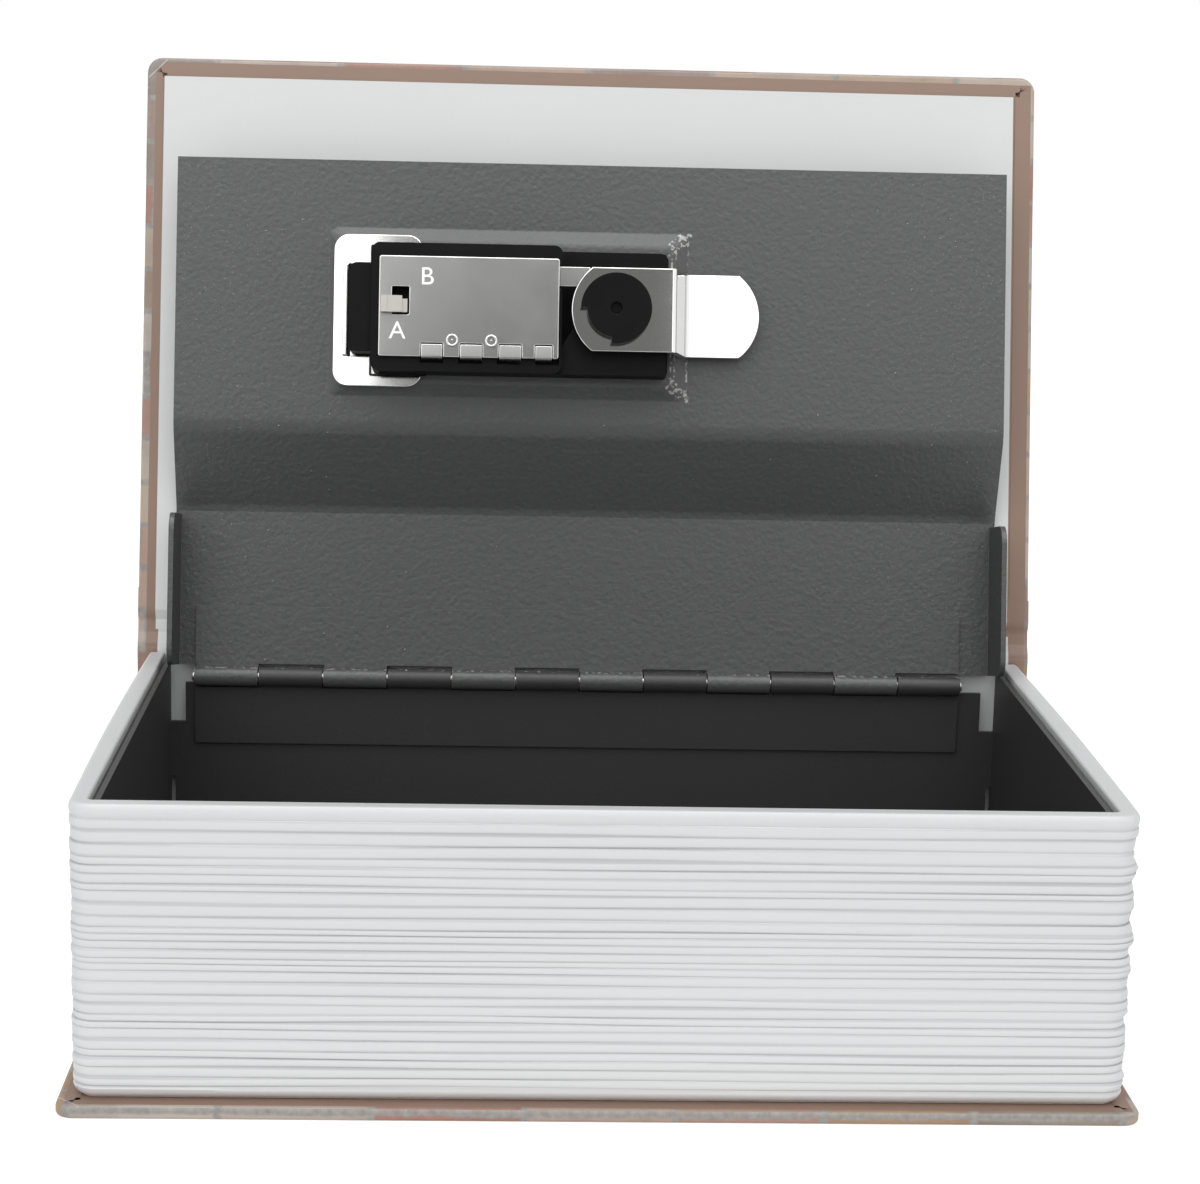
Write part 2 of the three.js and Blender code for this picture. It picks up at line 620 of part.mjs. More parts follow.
function lockHousing() {
  const half = HOUSING_WIDTH / 2;
  const stepX = LOCK_PIVOT_X - COVER_PLATE_TO_PIVOT + 2 * SEAT_GAP;
  const overlapX = stepX - 2 * HOUSING_CORNER;
  const body = slab(
    roundedRectangle(housingX0, stepX, lockY - half, lockY + half, HOUSING_CORNER),
    housingBottom,
    housingTop,
    3,
  );
  const base = slab(
    roundedRectangle(overlapX, housingX1, lockY - half, lockY + half, HOUSING_CORNER),
    tongueTop + SEAT_GAP,
    housingTop,
    3,
  );
  const camSide = new THREE.Shape();
  camSide.moveTo(overlapX, lockY - HOUSING_CAM_RADIUS);
  camSide.absarc(LOCK_PIVOT_X, lockY, HOUSING_CAM_RADIUS, -Math.PI / 2, 0);
  camSide.lineTo(LOCK_PIVOT_X + HOUSING_CAM_RADIUS, lockY + half);
  camSide.lineTo(overlapX, lockY + half);
  const low = slab(camSide, camSeat, housingTop - SEAT_GAP, 8);
  const lugHalf = END_LUG_WIDTH / 2;
  const lug = slab(
    roundedRectangle(lugX0, housingX0 + HOUSING_CORNER, lockY - lugHalf, lockY + lugHalf, HOUSING_CORNER),
    housingBottom + HOUSING_STEP,
    housingTop,
    3,
  );
  const boss = rodAlongZ(HOUSING_BOSS_RADIUS, housingBottom - SEAT_GAP, camSeat + OVER, LOCK_PIVOT_X, lockY);
  const ridges = [];
  for (let i = 0; i < GRIP_RIDGES; i += 1) {
    const z = padInside - SEAT_GAP - CLIP_THICKNESS - GRIP_RIDGE_PITCH * (i + 1);
    for (const side of [-1, 1]) {
      const x0 = housingX0 + HOUSING_CORNER;
      ridges.push(rodAlongX(GRIP_RIDGE_RADIUS, x0, x0 + GRIP_RIDGE_LENGTH, lockY + side * half, z, 8));
    }
  }
  const bore = rodAlongZ(
    SPINDLE_RADIUS + RUNNING_GAP,
    housingBottom - OVER,
    housingTop + OVER,
    LOCK_PIVOT_X,
    lockY,
  );
  const wellX0 = dialX(0) - DIAL_WIDTH / 2 - SEAT_GAP;
  const wellX1 = dialX(DIALS - 1) + DIAL_WIDTH / 2 + SEAT_GAP;
  const well = block(wellX0, wellX1, lockY - dialWell, lockY + dialWell, dialZ - dialWell, housingTop + OVER);
  const axleHole = rodAlongX(
    AXLE_RADIUS + RUNNING_GAP,
    wellX0 - AXLE_BEARING - SEAT_GAP,
    wellX1 + AXLE_BEARING + SEAT_GAP,
    lockY,
    dialZ,
    12,
  );
  const window = resetWindow(housingBottom - OVER, housingBottom + 2 * HOUSING_STEP);
  const earRoom = earSpace(
    plateRight - COVER_PLATE_THICKNESS,
    stepX,
    SEAT_GAP,
    housingBottom - OVER,
    plateBottom + COVER_PLATE_THICKNESS + PLATE_EAR_DROP + SEAT_GAP,
  );
  const tabRooms = Array.from({ length: PLATE_TABS }, (_, i) => tabFoot(i, SEAT_GAP));
  const solid = join(body, base, low, lug, boss, ...ridges);
  return cut(solid, bore, well, axleHole, window, earRoom, ...tabRooms);
}

function dialAxle() {
  const reach = DIAL_WIDTH / 2 + SEAT_GAP + AXLE_BEARING;
  return rodAlongX(AXLE_RADIUS, dialX(0) - reach, dialX(DIALS - 1) + reach, lockY, dialZ, 12);
}

// A numbered dial: a flat for each number with hollows between them, turning on the axle
function dial() {
  const step = (2 * Math.PI) / DIAL_POSITIONS;
  const rim = DIAL_RADIUS;
  const floor = DIAL_RADIUS - DIAL_GROOVE_DEPTH;
  const points = [];
  for (let i = 0; i < DIAL_POSITIONS; i += 1) {
    const flat = [[DIAL_GROOVE_SHARE / 2, rim], [1 - DIAL_GROOVE_SHARE / 2, rim]];
    for (const [share, radius] of [...flat, [1, floor]]) {
      const angle = (i + share) * step;
      points.push(new THREE.Vector2(radius * Math.cos(angle), radius * Math.sin(angle)));
    }
  }
  const outline = new THREE.Shape(points);
  const bore = new THREE.Path();
  bore.absarc(0, 0, AXLE_RADIUS + RUNNING_GAP, 0, 2 * Math.PI, true);
  outline.holes.push(bore);
  return alongX(outline, -DIAL_WIDTH / 2, DIAL_WIDTH / 2, 12);
}

// The part of a plate's tab that is bent down beside the housing's works
function tabFoot(i, gap) {
  const half = PLATE_TAB_WIDTH / 2 + gap;
  const outer = plateRearEdge + PLATE_TAB_REACH;
  return block(
    tabX(i) - half,
    tabX(i) + half,
    outer - COVER_PLATE_THICKNESS - gap,
    outer + gap,
    plateBottom - (gap > 0 ? OVER : 0),
    plateBottom + PLATE_TAB_FOOT + gap,
  );
}

// Chromed cover over the housing's works: a reset window, bent tabs, dimples and a low ear
function lockCoverPlate() {
  const front = lockY - COVER_PLATE_WIDTH / 2;
  const top = plateBottom + COVER_PLATE_THICKNESS;
  const outline = roundedRectangle(plateLeft, plateRight, front, plateRearEdge, COVER_PLATE_CORNER);
  const sheet = slab(outline, plateBottom, top, 2);
  const cuts = [resetWindow(plateBottom - OVER, top + OVER)];
  const additions = [];
  for (let i = 0; i < PLATE_TABS; i += 1) {
    for (const side of [-1, 1]) {
      const edge = tabX(i) + (side * (PLATE_TAB_WIDTH + PLATE_TAB_SLIT)) / 2;
      const [x0, x1] = [edge - PLATE_TAB_SLIT / 2, edge + PLATE_TAB_SLIT / 2];
      const y0 = plateRearEdge - PLATE_TAB_LENGTH;
      cuts.push(block(x0, x1, y0, plateRearEdge + OVER, plateBottom - OVER, top + OVER));
    }
    const [x0, x1] = [tabX(i) - PLATE_TAB_WIDTH / 2, tabX(i) + PLATE_TAB_WIDTH / 2];
    const tabEnd = plateRearEdge + PLATE_TAB_REACH;
    additions.push(block(x0, x1, front + COVER_PLATE_WIDTH / 2, tabEnd, plateBottom, top));
    additions.push(tabFoot(i, 0));
  }
  const dimpleSphere = (PLATE_DIMPLE_RADIUS ** 2 + PLATE_DIMPLE_HEIGHT ** 2) / (2 * PLATE_DIMPLE_HEIGHT);
  for (let i = 0; i < PLATE_DIMPLES; i += 1) {
    const dome = new THREE.SphereGeometry(dimpleSphere, 16, 10, 0, 2 * Math.PI);
    const centre = plateBottom - PLATE_DIMPLE_HEIGHT + dimpleSphere;
    const place = [(tabX(i) + tabX(i + 1)) / 2, plateRearEdge - PLATE_DIMPLE_FROM_EDGE];
    const cap = toSolid(dome.translate(...place, centre));
    const room = toSolid(block(plateLeft, plateRight, front, plateRearEdge, plateBottom - OVER, top));
    additions.push(toGeometry(cap.intersect(room)));
  }
  const earTop = top + PLATE_EAR_DROP;
  const earEnd = plateRight + PLATE_EAR_LENGTH;
  additions.push(earSpace(plateRight - COVER_PLATE_THICKNESS, plateRight, 0, plateBottom, earTop));
  additions.push(earSpace(
    plateRight - COVER_PLATE_THICKNESS,
    earEnd,
    0,
    earTop - COVER_PLATE_THICKNESS,
    earTop,
  ));
  return join(cut(sheet, ...cuts), ...additions);
}

// The C-shaped spring clip that holds the lock in its hole
function lockClip() {
  const x0 = lugX0 - CLIP_BACK_WIDTH;
  const half = CLIP_WIDTH / 2;
  const top = padInside - SEAT_GAP;
  const bottom = top - CLIP_THICKNESS;
  const outline = roundedRectangle(x0, x0 + CLIP_LENGTH, lockY - half, lockY + half, CLIP_CORNER);
  const plate = slab(outline, bottom, top, 4);
  const mouthHalf = HOUSING_WIDTH / 2 + SEAT_GAP;
  const mouthEnd = x0 + CLIP_LENGTH + OVER;
  const mouth = block(
    housingX0 - SEAT_GAP,
    mouthEnd,
    lockY - mouthHalf,
    lockY + mouthHalf,
    bottom - OVER,
    top + OVER,
  );
  const lugHalf = END_LUG_WIDTH / 2 + SEAT_GAP;
  const lugEdge = lugX0 - SEAT_GAP;
  const lugMouth = block(lugEdge, mouthEnd, lockY - lugHalf, lockY + lugHalf, bottom - OVER, top + OVER);
  const lipBottom = bottom - CLIP_LIP_HEIGHT;
  const lip = block(lugEdge - CLIP_THICKNESS, lugEdge, lockY - lugHalf, lockY + lugHalf, lipBottom, top);
  return join(cut(plate, mouth, lugMouth), lip);
}

// The lock's face, on the outside of the lid, with a window for each dial
function lockFaceplate() {
  const x0 = padX0 + PAD_BEVEL + SHEET / 2 + SEAT_GAP;
  const x1 = padX1 - PAD_BEVEL - SHEET / 2 - SEAT_GAP;
  const half = PAD_WIDTH / 2 - PAD_BEVEL - SHEET / 2 - SEAT_GAP;
  const plate = slab(
    roundedRectangle(x0, x1, lockY - half, lockY + half, FACEPLATE_CORNER),
    faceplateBottom,
    faceplateTop,
    4,
  );
  const cuts = [];
  for (let i = 0; i < DIALS; i += 1) {
    const x = dialX(i);
    const halfWidth = DIAL_WIDTH / 2 + SEAT_GAP;
    cuts.push(rodAlongX(dialWell, x - halfWidth, x + halfWidth, lockY, dialZ, 32));
  }
  const knobBore = SPINDLE_RADIUS + SEAT_GAP;
  cuts.push(rodAlongZ(knobBore, faceplateBottom - OVER, faceplateTop + OVER, LOCK_PIVOT_X, lockY));
  return cut(plate, ...cuts);
}

// Reset lever: a stem in the window and a finger tab over the plate's edge
function resetLever() {
  const tabTop = plateBottom - SEAT_GAP;
  const tabBottom = tabTop - RESET_TAB_THICKNESS;
  const halfX = RESET_STEM_LENGTH / 2;
  const halfY = RESET_STEM_WIDTH / 2;
  const stem = block(-halfX, halfX, -halfY, halfY, tabBottom, housingBottom + HOUSING_STEP);
  const tabEnd = -halfX + RESET_TAB_OVERLAP;
  const tab = block(-halfX - RESET_TAB_REACH, tabEnd, -halfY - RESET_TAB_RISE, halfY, tabBottom, tabTop);
  return join(stem, tab);
}

// Cam, drawn about the knob's axis, with its tongue to the right as in the open lock
function camPlate() {
  const half = CAM_WIDTH / 2;
  const bendFar = CAM_BEND_NEAR + CAM_BEND_RUN;
  const low = camTop - CAM_THICKNESS;
  const tongueLow = tongueTop - CAM_THICKNESS;
  const outline = new THREE.Shape();
  outline.moveTo(-CAM_TAIL + CAM_END_BULGE, -half);
  outline.lineTo(CAM_REACH - CAM_END_BULGE, -half);
  outline.quadraticCurveTo(CAM_REACH + CAM_END_BULGE, 0, CAM_REACH - CAM_END_BULGE, half);
  outline.lineTo(-CAM_TAIL + CAM_END_BULGE, half);
  outline.quadraticCurveTo(-CAM_TAIL - CAM_END_BULGE, 0, -CAM_TAIL + CAM_END_BULGE, -half);
  const blank = slab(outline, low - OVER, tongueTop + OVER, 8);
  const section = new THREE.Shape();
  section.moveTo(-CAM_TAIL - OVER, low);
  section.lineTo(CAM_BEND_NEAR + CAM_THICKNESS, low);
  section.lineTo(bendFar + CAM_THICKNESS / 2, tongueLow);
  section.lineTo(CAM_REACH + OVER, tongueLow);
  section.lineTo(CAM_REACH + OVER, tongueTop);
  section.lineTo(bendFar - CAM_THICKNESS / 2, tongueTop);
  section.lineTo(CAM_BEND_NEAR, camTop);
  section.lineTo(-CAM_TAIL - OVER, camTop);
  const depth = CAM_WIDTH + 2 * OVER;
  const profile = new THREE.ExtrudeGeometry(section, { depth, bevelEnabled: false })
    .rotateX(Math.PI / 2)
    .translate(0, depth / 2, 0);
  const hole = rodAlongZ(SPINDLE_RADIUS + RUNNING_GAP, low - OVER, camTop + OVER, 0, 0);
  const bent = toSolid(blank).intersect(toSolid(profile)).subtract(toSolid(hole));
  return toGeometry(bent);
}

// The stop disc that is screwed over the cam, cut back round a part of its edge
function camScrew() {
  const top = camTop - CAM_THICKNESS - SEAT_GAP;
  const bottom = top - CAM_SCREW_HEIGHT;
  const disc = rodAlongZ(CAM_SCREW_RADIUS, bottom, top, 0, 0, 48);
  const from = THREE.MathUtils.degToRad(CAM_SCREW_STOP_FROM);
  const to = THREE.MathUtils.degToRad(CAM_SCREW_STOP_TO);
  const stop = new THREE.Shape();
  stop.absarc(0, 0, CAM_SCREW_RADIUS + OVER, from, to, false);
  stop.absarc(0, 0, CAM_SCREW_RADIUS - CAM_SCREW_STOP_DEPTH, to, from, true);
  const notch = slab(stop, bottom - OVER, top + OVER, 16);
  const socket = rodAlongZ(CAM_SCREW_SOCKET_RADIUS, bottom - OVER, bottom + CAM_SCREW_SOCKET_DEPTH, 0, 0, 16);
  return cut(disc, notch, socket);
}

function lockSpindle() {
  const bottom = camTop - CAM_THICKNESS - SEAT_GAP / 3;
  const top = faceplateTop;
  return rodAlongZ(SPINDLE_RADIUS, bottom, top, 0, 0);
}

// The turning knob outside the lid: a low disc with a finger bar
function turnKnob() {
  const bottom = faceplateTop + SEAT_GAP;
  const skirtTop = bottom + KNOB_SKIRT_HEIGHT;
  const profile = [
    new THREE.Vector2(0, bottom),
    new THREE.Vector2(KNOB_RADIUS, bottom),
    new THREE.Vector2(KNOB_RADIUS, skirtTop - KNOB_EDGE),
    new THREE.Vector2(KNOB_RADIUS - KNOB_EDGE, skirtTop),
    new THREE.Vector2(0, skirtTop),
  ];
  const disc = new THREE.LatheGeometry(profile, 32).rotateX(Math.PI / 2);
  const reach = KNOB_RADIUS - KNOB_BAR_INSET;
  const half = KNOB_BAR_WIDTH / 2;
  const bar = slab(
    roundedRectangle(-reach, reach, -half, half, KNOB_BAR_ROUND),
    bottom + KNOB_SKIRT_HEIGHT / 2,
    bottom + KNOB_HEIGHT,
    4,
  );
  return join(disc, bar);
}

// Finishes
const finish = (color, roughness, metalness) => ({ color, roughness, metalness });
const PRINTED_PAPER = finish(0xa58a78, 0.6, 0);
const ENDPAPER = finish(0xd8d9d9, 0.8, 0);
const PAGES = finish(0xdadcdc, 0.5, 0);
const TRAY_PAINT = finish(0x2c2c2c, 0.5, 0.2);
const HAMMERED_PAINT = finish(0x646564, 0.45, 0.3);
const CHROME = finish(0xc8c8c8, 0.15, 1);
const BLACK_PLASTIC = finish(0x161616, 0.45, 0);
const PIN_STEEL = finish(0x8a8a88, 0.35, 1);
const DIAL_BRASS = finish(0xb89a58, 0.35, 1);

function part(name, geometry, look, x = 0, y = 0, z = 0) {
  const mesh = new THREE.Mesh(geometry, new THREE.MeshStandardMaterial(look));
  mesh.name = name;
  mesh.position.set(x, y, z);
  return mesh;
}

// A group that turns its closed pieces about an axis along X through y and z
function swung(y, z, degrees, pieces) {
  const carrier = new THREE.Group();
  carrier.position.set(0, -y, -z);
  carrier.add(...pieces);
  const turned = new THREE.Group();
  turned.add(carrier);
  turned.rotation.x = -THREE.MathUtils.degToRad(degrees);
  turned.position.set(0, y, z);
  return turned;
}

const bookCase = [
  part('back_cover_board', coverBoard(0), PRINTED_PAPER),
  part('back_fold_strip', foldStrip(FOLD_THICKNESS / 2), PRINTED_PAPER),
  part('spine_board', spineBoard(), PRINTED_PAPER),
  part('spine_lining', spineLining(), ENDPAPER),
  part('page_block', pageBlock(), PAGES),
];

const frontCover = swung(foldY, foldHeight, COVER_OPENING, [
  part('front_fold_strip', foldStrip(foldHeight), PRINTED_PAPER),
  part('front_cover_board', coverBoard(coverBoardBottom), PRINTED_PAPER),
  part('front_endpaper', frontEndpaper(), ENDPAPER),
]);

const tray = [
  part('cash_tray', cashTray(), TRAY_PAINT),
  part('tray_hinge_leaf', hingeLeaf(), TRAY_PAINT, hingeMiddle, hingeY, hingeZ),
  part('hinge_pin', hingePin(), PIN_STEEL, hingeMiddle, hingeY, hingeZ),
];

const dials = Array.from({ length: DIALS }, (_, i) => (
  part(`number_dial_${i + 1}`, dial(), DIAL_BRASS, dialX(i), lockY, dialZ)
));

const lid = swung(hingeY, hingeZ, COVER_OPENING, [
  part('lid_panel', lidPanel(), HAMMERED_PAINT),
  part('lid_hinge_leaf', lidHingeLeaf(), HAMMERED_PAINT, hingeMiddle, hingeY, hingeZ),
  part('lock_housing', lockHousing(), BLACK_PLASTIC),
  part('lock_faceplate', lockFaceplate(), CHROME),
  part('lock_cover_plate', lockCoverPlate(), CHROME),
  part('lock_clip', lockClip(), CHROME),
  part('dial_axle', dialAxle(), PIN_STEEL),
  ...dials,
  part('reset_lever', resetLever(), CHROME, resetX, lockY, 0),
  part('cam_plate', camPlate(), CHROME, LOCK_PIVOT_X, lockY, 0),
  part('cam_screw', camScrew(), BLACK_PLASTIC, LOCK_PIVOT_X, lockY, 0),
  part('lock_spindle', lockSpindle(), PIN_STEEL, LOCK_PIVOT_X, lockY, 0),
  part('turn_knob', turnKnob(), CHROME, LOCK_PIVOT_X, lockY, 0),
]);

const safe = new THREE.Group();
safe.add(...bookCase, ...tray, frontCover, lid);

export default safe;
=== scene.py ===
import json
import math
import random

import bmesh
import bpy
from bpy.props import FloatProperty, FloatVectorProperty, IntProperty, PointerProperty
from mathutils import Matrix, Vector


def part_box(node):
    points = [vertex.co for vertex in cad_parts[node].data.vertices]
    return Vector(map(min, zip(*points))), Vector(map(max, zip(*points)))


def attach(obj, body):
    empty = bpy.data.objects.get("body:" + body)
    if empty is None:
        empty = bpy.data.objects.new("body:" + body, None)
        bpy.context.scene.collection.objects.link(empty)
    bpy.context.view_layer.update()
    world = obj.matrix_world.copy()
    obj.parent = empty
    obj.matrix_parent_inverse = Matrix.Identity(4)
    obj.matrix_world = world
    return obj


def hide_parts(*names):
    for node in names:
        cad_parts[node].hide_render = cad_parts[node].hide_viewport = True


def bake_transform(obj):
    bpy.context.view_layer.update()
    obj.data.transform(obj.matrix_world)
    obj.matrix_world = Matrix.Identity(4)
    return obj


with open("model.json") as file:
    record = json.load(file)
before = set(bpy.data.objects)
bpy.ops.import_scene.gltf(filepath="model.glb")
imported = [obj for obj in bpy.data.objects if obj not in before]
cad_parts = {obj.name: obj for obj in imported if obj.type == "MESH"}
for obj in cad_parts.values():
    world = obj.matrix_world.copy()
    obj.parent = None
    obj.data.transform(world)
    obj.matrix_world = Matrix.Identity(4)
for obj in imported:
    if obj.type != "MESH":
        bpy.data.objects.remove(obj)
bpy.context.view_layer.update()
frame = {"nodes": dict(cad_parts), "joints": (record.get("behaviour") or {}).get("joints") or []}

bl_info = {
    "name": "Book safe",
    "version": (1, 0, 0),
    "blender": (4, 5, 0),
    "location": "3D View > Sidebar > Book safe",
    "description": "Dresses the packed book safe with detailed pieces and finishes",
    "category": "Object",
}

MM = 0.001
NEAR = 0.01 * MM


# The frame, read closed: the lid and the front cover are made shut and then turned open

def joint(name):
    """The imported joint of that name."""
    return next(entry for entry in frame["joints"] if entry["name"] == name)


def opening(name):
    """The matrix that turns a closed piece open about a packed hinge."""
    data = joint(name)
    pivot = Matrix.Translation(data["pos_m"])
    turn = Matrix.Rotation(-math.radians(data["range_deg"][0]), 4, Vector(data["axis"]))
    return pivot @ turn @ pivot.inverted()


LID_OPEN = opening("lid_hinge")
COVER_OPEN = opening("cover_fold_turn")


def closed_box(node, turned):
    """Lowest and highest corner of a node's solid when its hinge is shut."""
    shut = turned.inverted()
    points = [shut @ vertex.co for vertex in frame["nodes"][node].data.vertices]
    low = Vector([min(point[i] for point in points) for i in range(3)])
    high = Vector([max(point[i] for point in points) for i in range(3)])
    return low, high


def lid_box(node):
    """The closed box of a node on the lid."""
    return closed_box(node, LID_OPEN)


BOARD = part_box("back_cover_board")
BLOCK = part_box("page_block")
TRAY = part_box("cash_tray")
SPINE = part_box("spine_board")
COVER = closed_box("front_cover_board", COVER_OPEN)
LID = lid_box("lid_panel")
HOUSING = lid_box("lock_housing")
PLATE = lid_box("lock_cover_plate")
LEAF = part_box("tray_hinge_leaf")
FOLD = Vector(joint("cover_fold_turn")["pos_m"])
HINGE = Vector(((LEAF[0].x + LEAF[1].x) / 2, *joint("lid_hinge")["pos_m"][1:]))
HINGE_LENGTH = LEAF[1].x - LEAF[0].x
KNUCKLE = LEAF[1].z - HINGE.z
LEAF_Z = HINGE.z
PIVOT = LID_OPEN.inverted() @ Vector(joint("cam_turn")["pos_m"])
LEVER = lid_box("reset_lever")[1] - Vector((1.35 * MM, 0, 0))
PLATE_FACE = HOUSING[0].z - 0.8 * MM
PLATE_RIGHT = PIVOT.x - 11 * MM
TABS = [(10.4 * MM, 4.3 * MM), (18.0 * MM, 4.4 * MM), (25.6 * MM, 4.4 * MM), (32.1 * MM, 3.4 * MM)]
TAB_DEPTH = 2.7 * MM
CAM_END = 10.4 * MM
CAM_BEND = 0.75 * MM
KNOB_RADIUS, KNOB_SKIRT = 8 * MM, 2.4 * MM
DIAL_FLAT, DIAL_ROOM = 5.55 * MM, 6.6 * MM
FACE_CORNER = 3 * MM
RIM_OUTER, RIM_INNER = 0.8 * MM, 0.4 * MM
# Lid paint colours: bare steel of chips, also used for light flecks painted as a highlight on knuckle tops; a painted
# dimple highlight; a painted dimple shadow.
BARE_STEEL_AND_GLINT, DIMPLE_HIGHLIGHT, DIMPLE_SHADOW = (0.42, 0.42, 0.41), (0.45, 0.45, 0.44), (0.012, 0.012, 0.012)
PAD = (Vector((PIVOT.x - 56.0 * MM, PIVOT.y - 16.4 * MM, 0)), Vector((PIVOT.x + 14.5 * MM, PIVOT.y + 16.4 * MM, 0)))


class BookSafeSizes(bpy.types.PropertyGroup):
    """Sizes of the dressed pieces that the frame doesn't fix."""

    steel: FloatProperty(name="Sheet steel", description="Thickness of the tray and the lid", default=1 * MM, unit="LENGTH")
    bend: FloatProperty(name="Tray bend", description="Outer radius of the tray's folds", default=1.3 * MM, unit="LENGTH")
    tray_flange: FloatProperty(name="Tray return", description="Depth of the return along the tray's front", default=11 * MM, unit="LENGTH")
    tray_lip: FloatProperty(name="Tray front", description="How far the tray's front stays below the hinge pin", default=6.7 * MM, unit="LENGTH")
    notch: FloatProperty(name="Corner notch", description="Width of the notch at the tray's rear corners", default=3 * MM, unit="LENGTH")
    notch_depth: FloatProperty(name="Notch depth", description="Depth of those notches", default=8 * MM, unit="LENGTH")
    slot: FloatProperty(name="Relief slot", description="Width of the slots at the tray's rear folds", default=0.9 * MM, unit="LENGTH")
    knuckles: IntProperty(name="Knuckles", description="Knuckles of the piano hinge, both leaves together", default=12)
    leaf: FloatProperty(name="Leaf", description="Thickness of the hinge leaves", default=0.8 * MM, unit="LENGTH")
    leaf_depth: FloatProperty(name="Leaf depth", description="Reach of a leaf from the pin", default=14 * MM, unit="LENGTH")
    rear_panel: FloatProperty(name="Rear panel", description="Depth of the lid's raised rear part", default=31.5 * MM, unit="LENGTH")
    joggle: FloatProperty(name="Joggle run", description="Depth of the slope between the lid's two levels", default=16 * MM, unit="LENGTH")
    joggle_drop: FloatProperty(name="Joggle drop", description="Height between the lid's two levels", default=8.6 * MM, unit="LENGTH")
    flange: FloatProperty(name="Lid flange", description="Depth of the lid's side flanges", default=13.7 * MM, unit="LENGTH")
    flange_corner: FloatProperty(name="Flange corner", description="Radius of the flanges' corners", default=3.5 * MM, unit="LENGTH")
    pad_bevel: FloatProperty(name="Pad slope", description="Width of the slope round the lock's pad", default=2.8 * MM, unit="LENGTH")
    pad_depth: FloatProperty(name="Pad height", description="Height of the pad", default=1.4 * MM, unit="LENGTH")
    plate_width: FloatProperty(name="Cover plate", description="Width of the lock's cover plate", default=19.6 * MM, unit="LENGTH")
    plate: FloatProperty(name="Plate steel", description="Thickness of the cover plate", default=0.8 * MM, unit="LENGTH")
    cam: FloatProperty(name="Cam steel", description="Thickness of the cam", default=1.4 * MM, unit="LENGTH")
    sheet_half: FloatProperty(name="Endpaper half", description="Half the endpaper's width", default=86 * MM, unit="LENGTH")
    sheet_edge: FloatProperty(name="Endpaper edge", description="Endpaper's distance from the cover's front edge", default=4 * MM, unit="LENGTH")
    wall: FloatProperty(name="Page wall", description="Thickness of the page block's walls", default=3.2 * MM, unit="LENGTH")
    corner: FloatProperty(name="Page corner", description="Plan radius of the page block's front corners", default=4 * MM, unit="LENGTH")
    foot: FloatProperty(name="Page foot", description="Radius of the page block's lower edge", default=2.5 * MM, unit="LENGTH")
    lip: FloatProperty(name="Top lip", description="Height of the plain band under the rim", default=2.5 * MM, unit="LENGTH")
    bow: FloatProperty(name="Side bow", description="How far the page block's sides bulge", default=0.5 * MM, unit="LENGTH")
    bundles: IntProperty(name="Page bundles", description="Bundles of pages over the block's height", default=28)
    groove: FloatProperty(name="Groove", description="Depth of the grooves between page bundles", default=0.27 * MM, unit="LENGTH")
    board_corner: FloatProperty(name="Board corner", description="Plan radius of the cover boards", default=3 * MM, unit="LENGTH")
    board_edge: FloatProperty(name="Board edge", description="Rounding of the wrapped board edges", default=0.7 * MM, unit="LENGTH")
    turn_in: FloatProperty(name="Turn-in", description="Width of printed paper turned in round the cover", default=4.0 * MM, unit="LENGTH")


class BookSafeColours(bpy.types.PropertyGroup):
    """Base colours of the finishes, linear."""

    pages: FloatVectorProperty(name="Pages", description="White moulded plastic", subtype="COLOR", default=(0.775, 0.783, 0.788))
    endpaper: FloatVectorProperty(name="Endpaper", description="Paper inside the front cover", subtype="COLOR", default=(0.785, 0.792, 0.793))
    turn_in: FloatVectorProperty(name="Turn-in", description="Plain border of the printed paper", subtype="COLOR", default=(0.312, 0.203, 0.151))
    paint: FloatVectorProperty(name="Lid paint", description="Grey hammered paint", subtype="COLOR", default=(0.078, 0.08, 0.079))
    tray: FloatVectorProperty(name="Tray paint", description="Near-black paint", subtype="COLOR", default=(0.026, 0.026, 0.026))
    plastic: FloatVectorProperty(name="Lock plastic", description="Black moulded plastic", subtype="COLOR", default=(0.006, 0.006, 0.006))
    chrome: FloatVectorProperty(name="Chrome", description="Bright plate", subtype="COLOR", default=(0.82, 0.82, 0.81))


class BookSafeStage(bpy.types.PropertyGroup):
    """Camera, lamps and floor."""

    camera: FloatVectorProperty(name="Camera", description="Place of the camera", subtype="TRANSLATION", default=(-0.02147, -0.48838, 0.17614))
    yaw: FloatProperty(name="Yaw", description="Turn of the camera to the right", subtype="ANGLE", default=math.radians(2.53))
    pitch: FloatProperty(name="Pitch", description="Tilt of the camera downwards", subtype="ANGLE", default=math.radians(11.39))
    roll: FloatProperty(name="Roll", description="Turn of the camera about its view", subtype="ANGLE", default=math.radians(1.40))
    lens: FloatProperty(name="Lens", description="Focal length on a 36 mm frame", default=82.94)
    key: FloatProperty(name="Key lamp", description="Strength of the light from the front left", default=1.3)
    fill: FloatProperty(name="Fill lamp", description="Strength of the light from the right", default=0.5)
    sky: FloatProperty(name="Sky", description="Strength of the white room on the object", default=0.42)


# Modelling, in the way it is done by hand: pick, then edit

def deselect():
    """Back to object mode with nothing selected."""
    if bpy.context.object and bpy.context.object.mode != "OBJECT":
        bpy.ops.object.mode_set(mode="OBJECT")
    bpy.ops.object.select_all(action="DESELECT")


def take(piece):
    """Selects one piece alone."""
    deselect()
    piece.select_set(True)
    bpy.context.view_layer.objects.active = piece


def edit(piece):
    """Opens a piece for editing with nothing picked."""
    take(piece)
    bpy.ops.object.mode_set(mode="EDIT")
    bpy.ops.mesh.select_all(action="DESELECT")


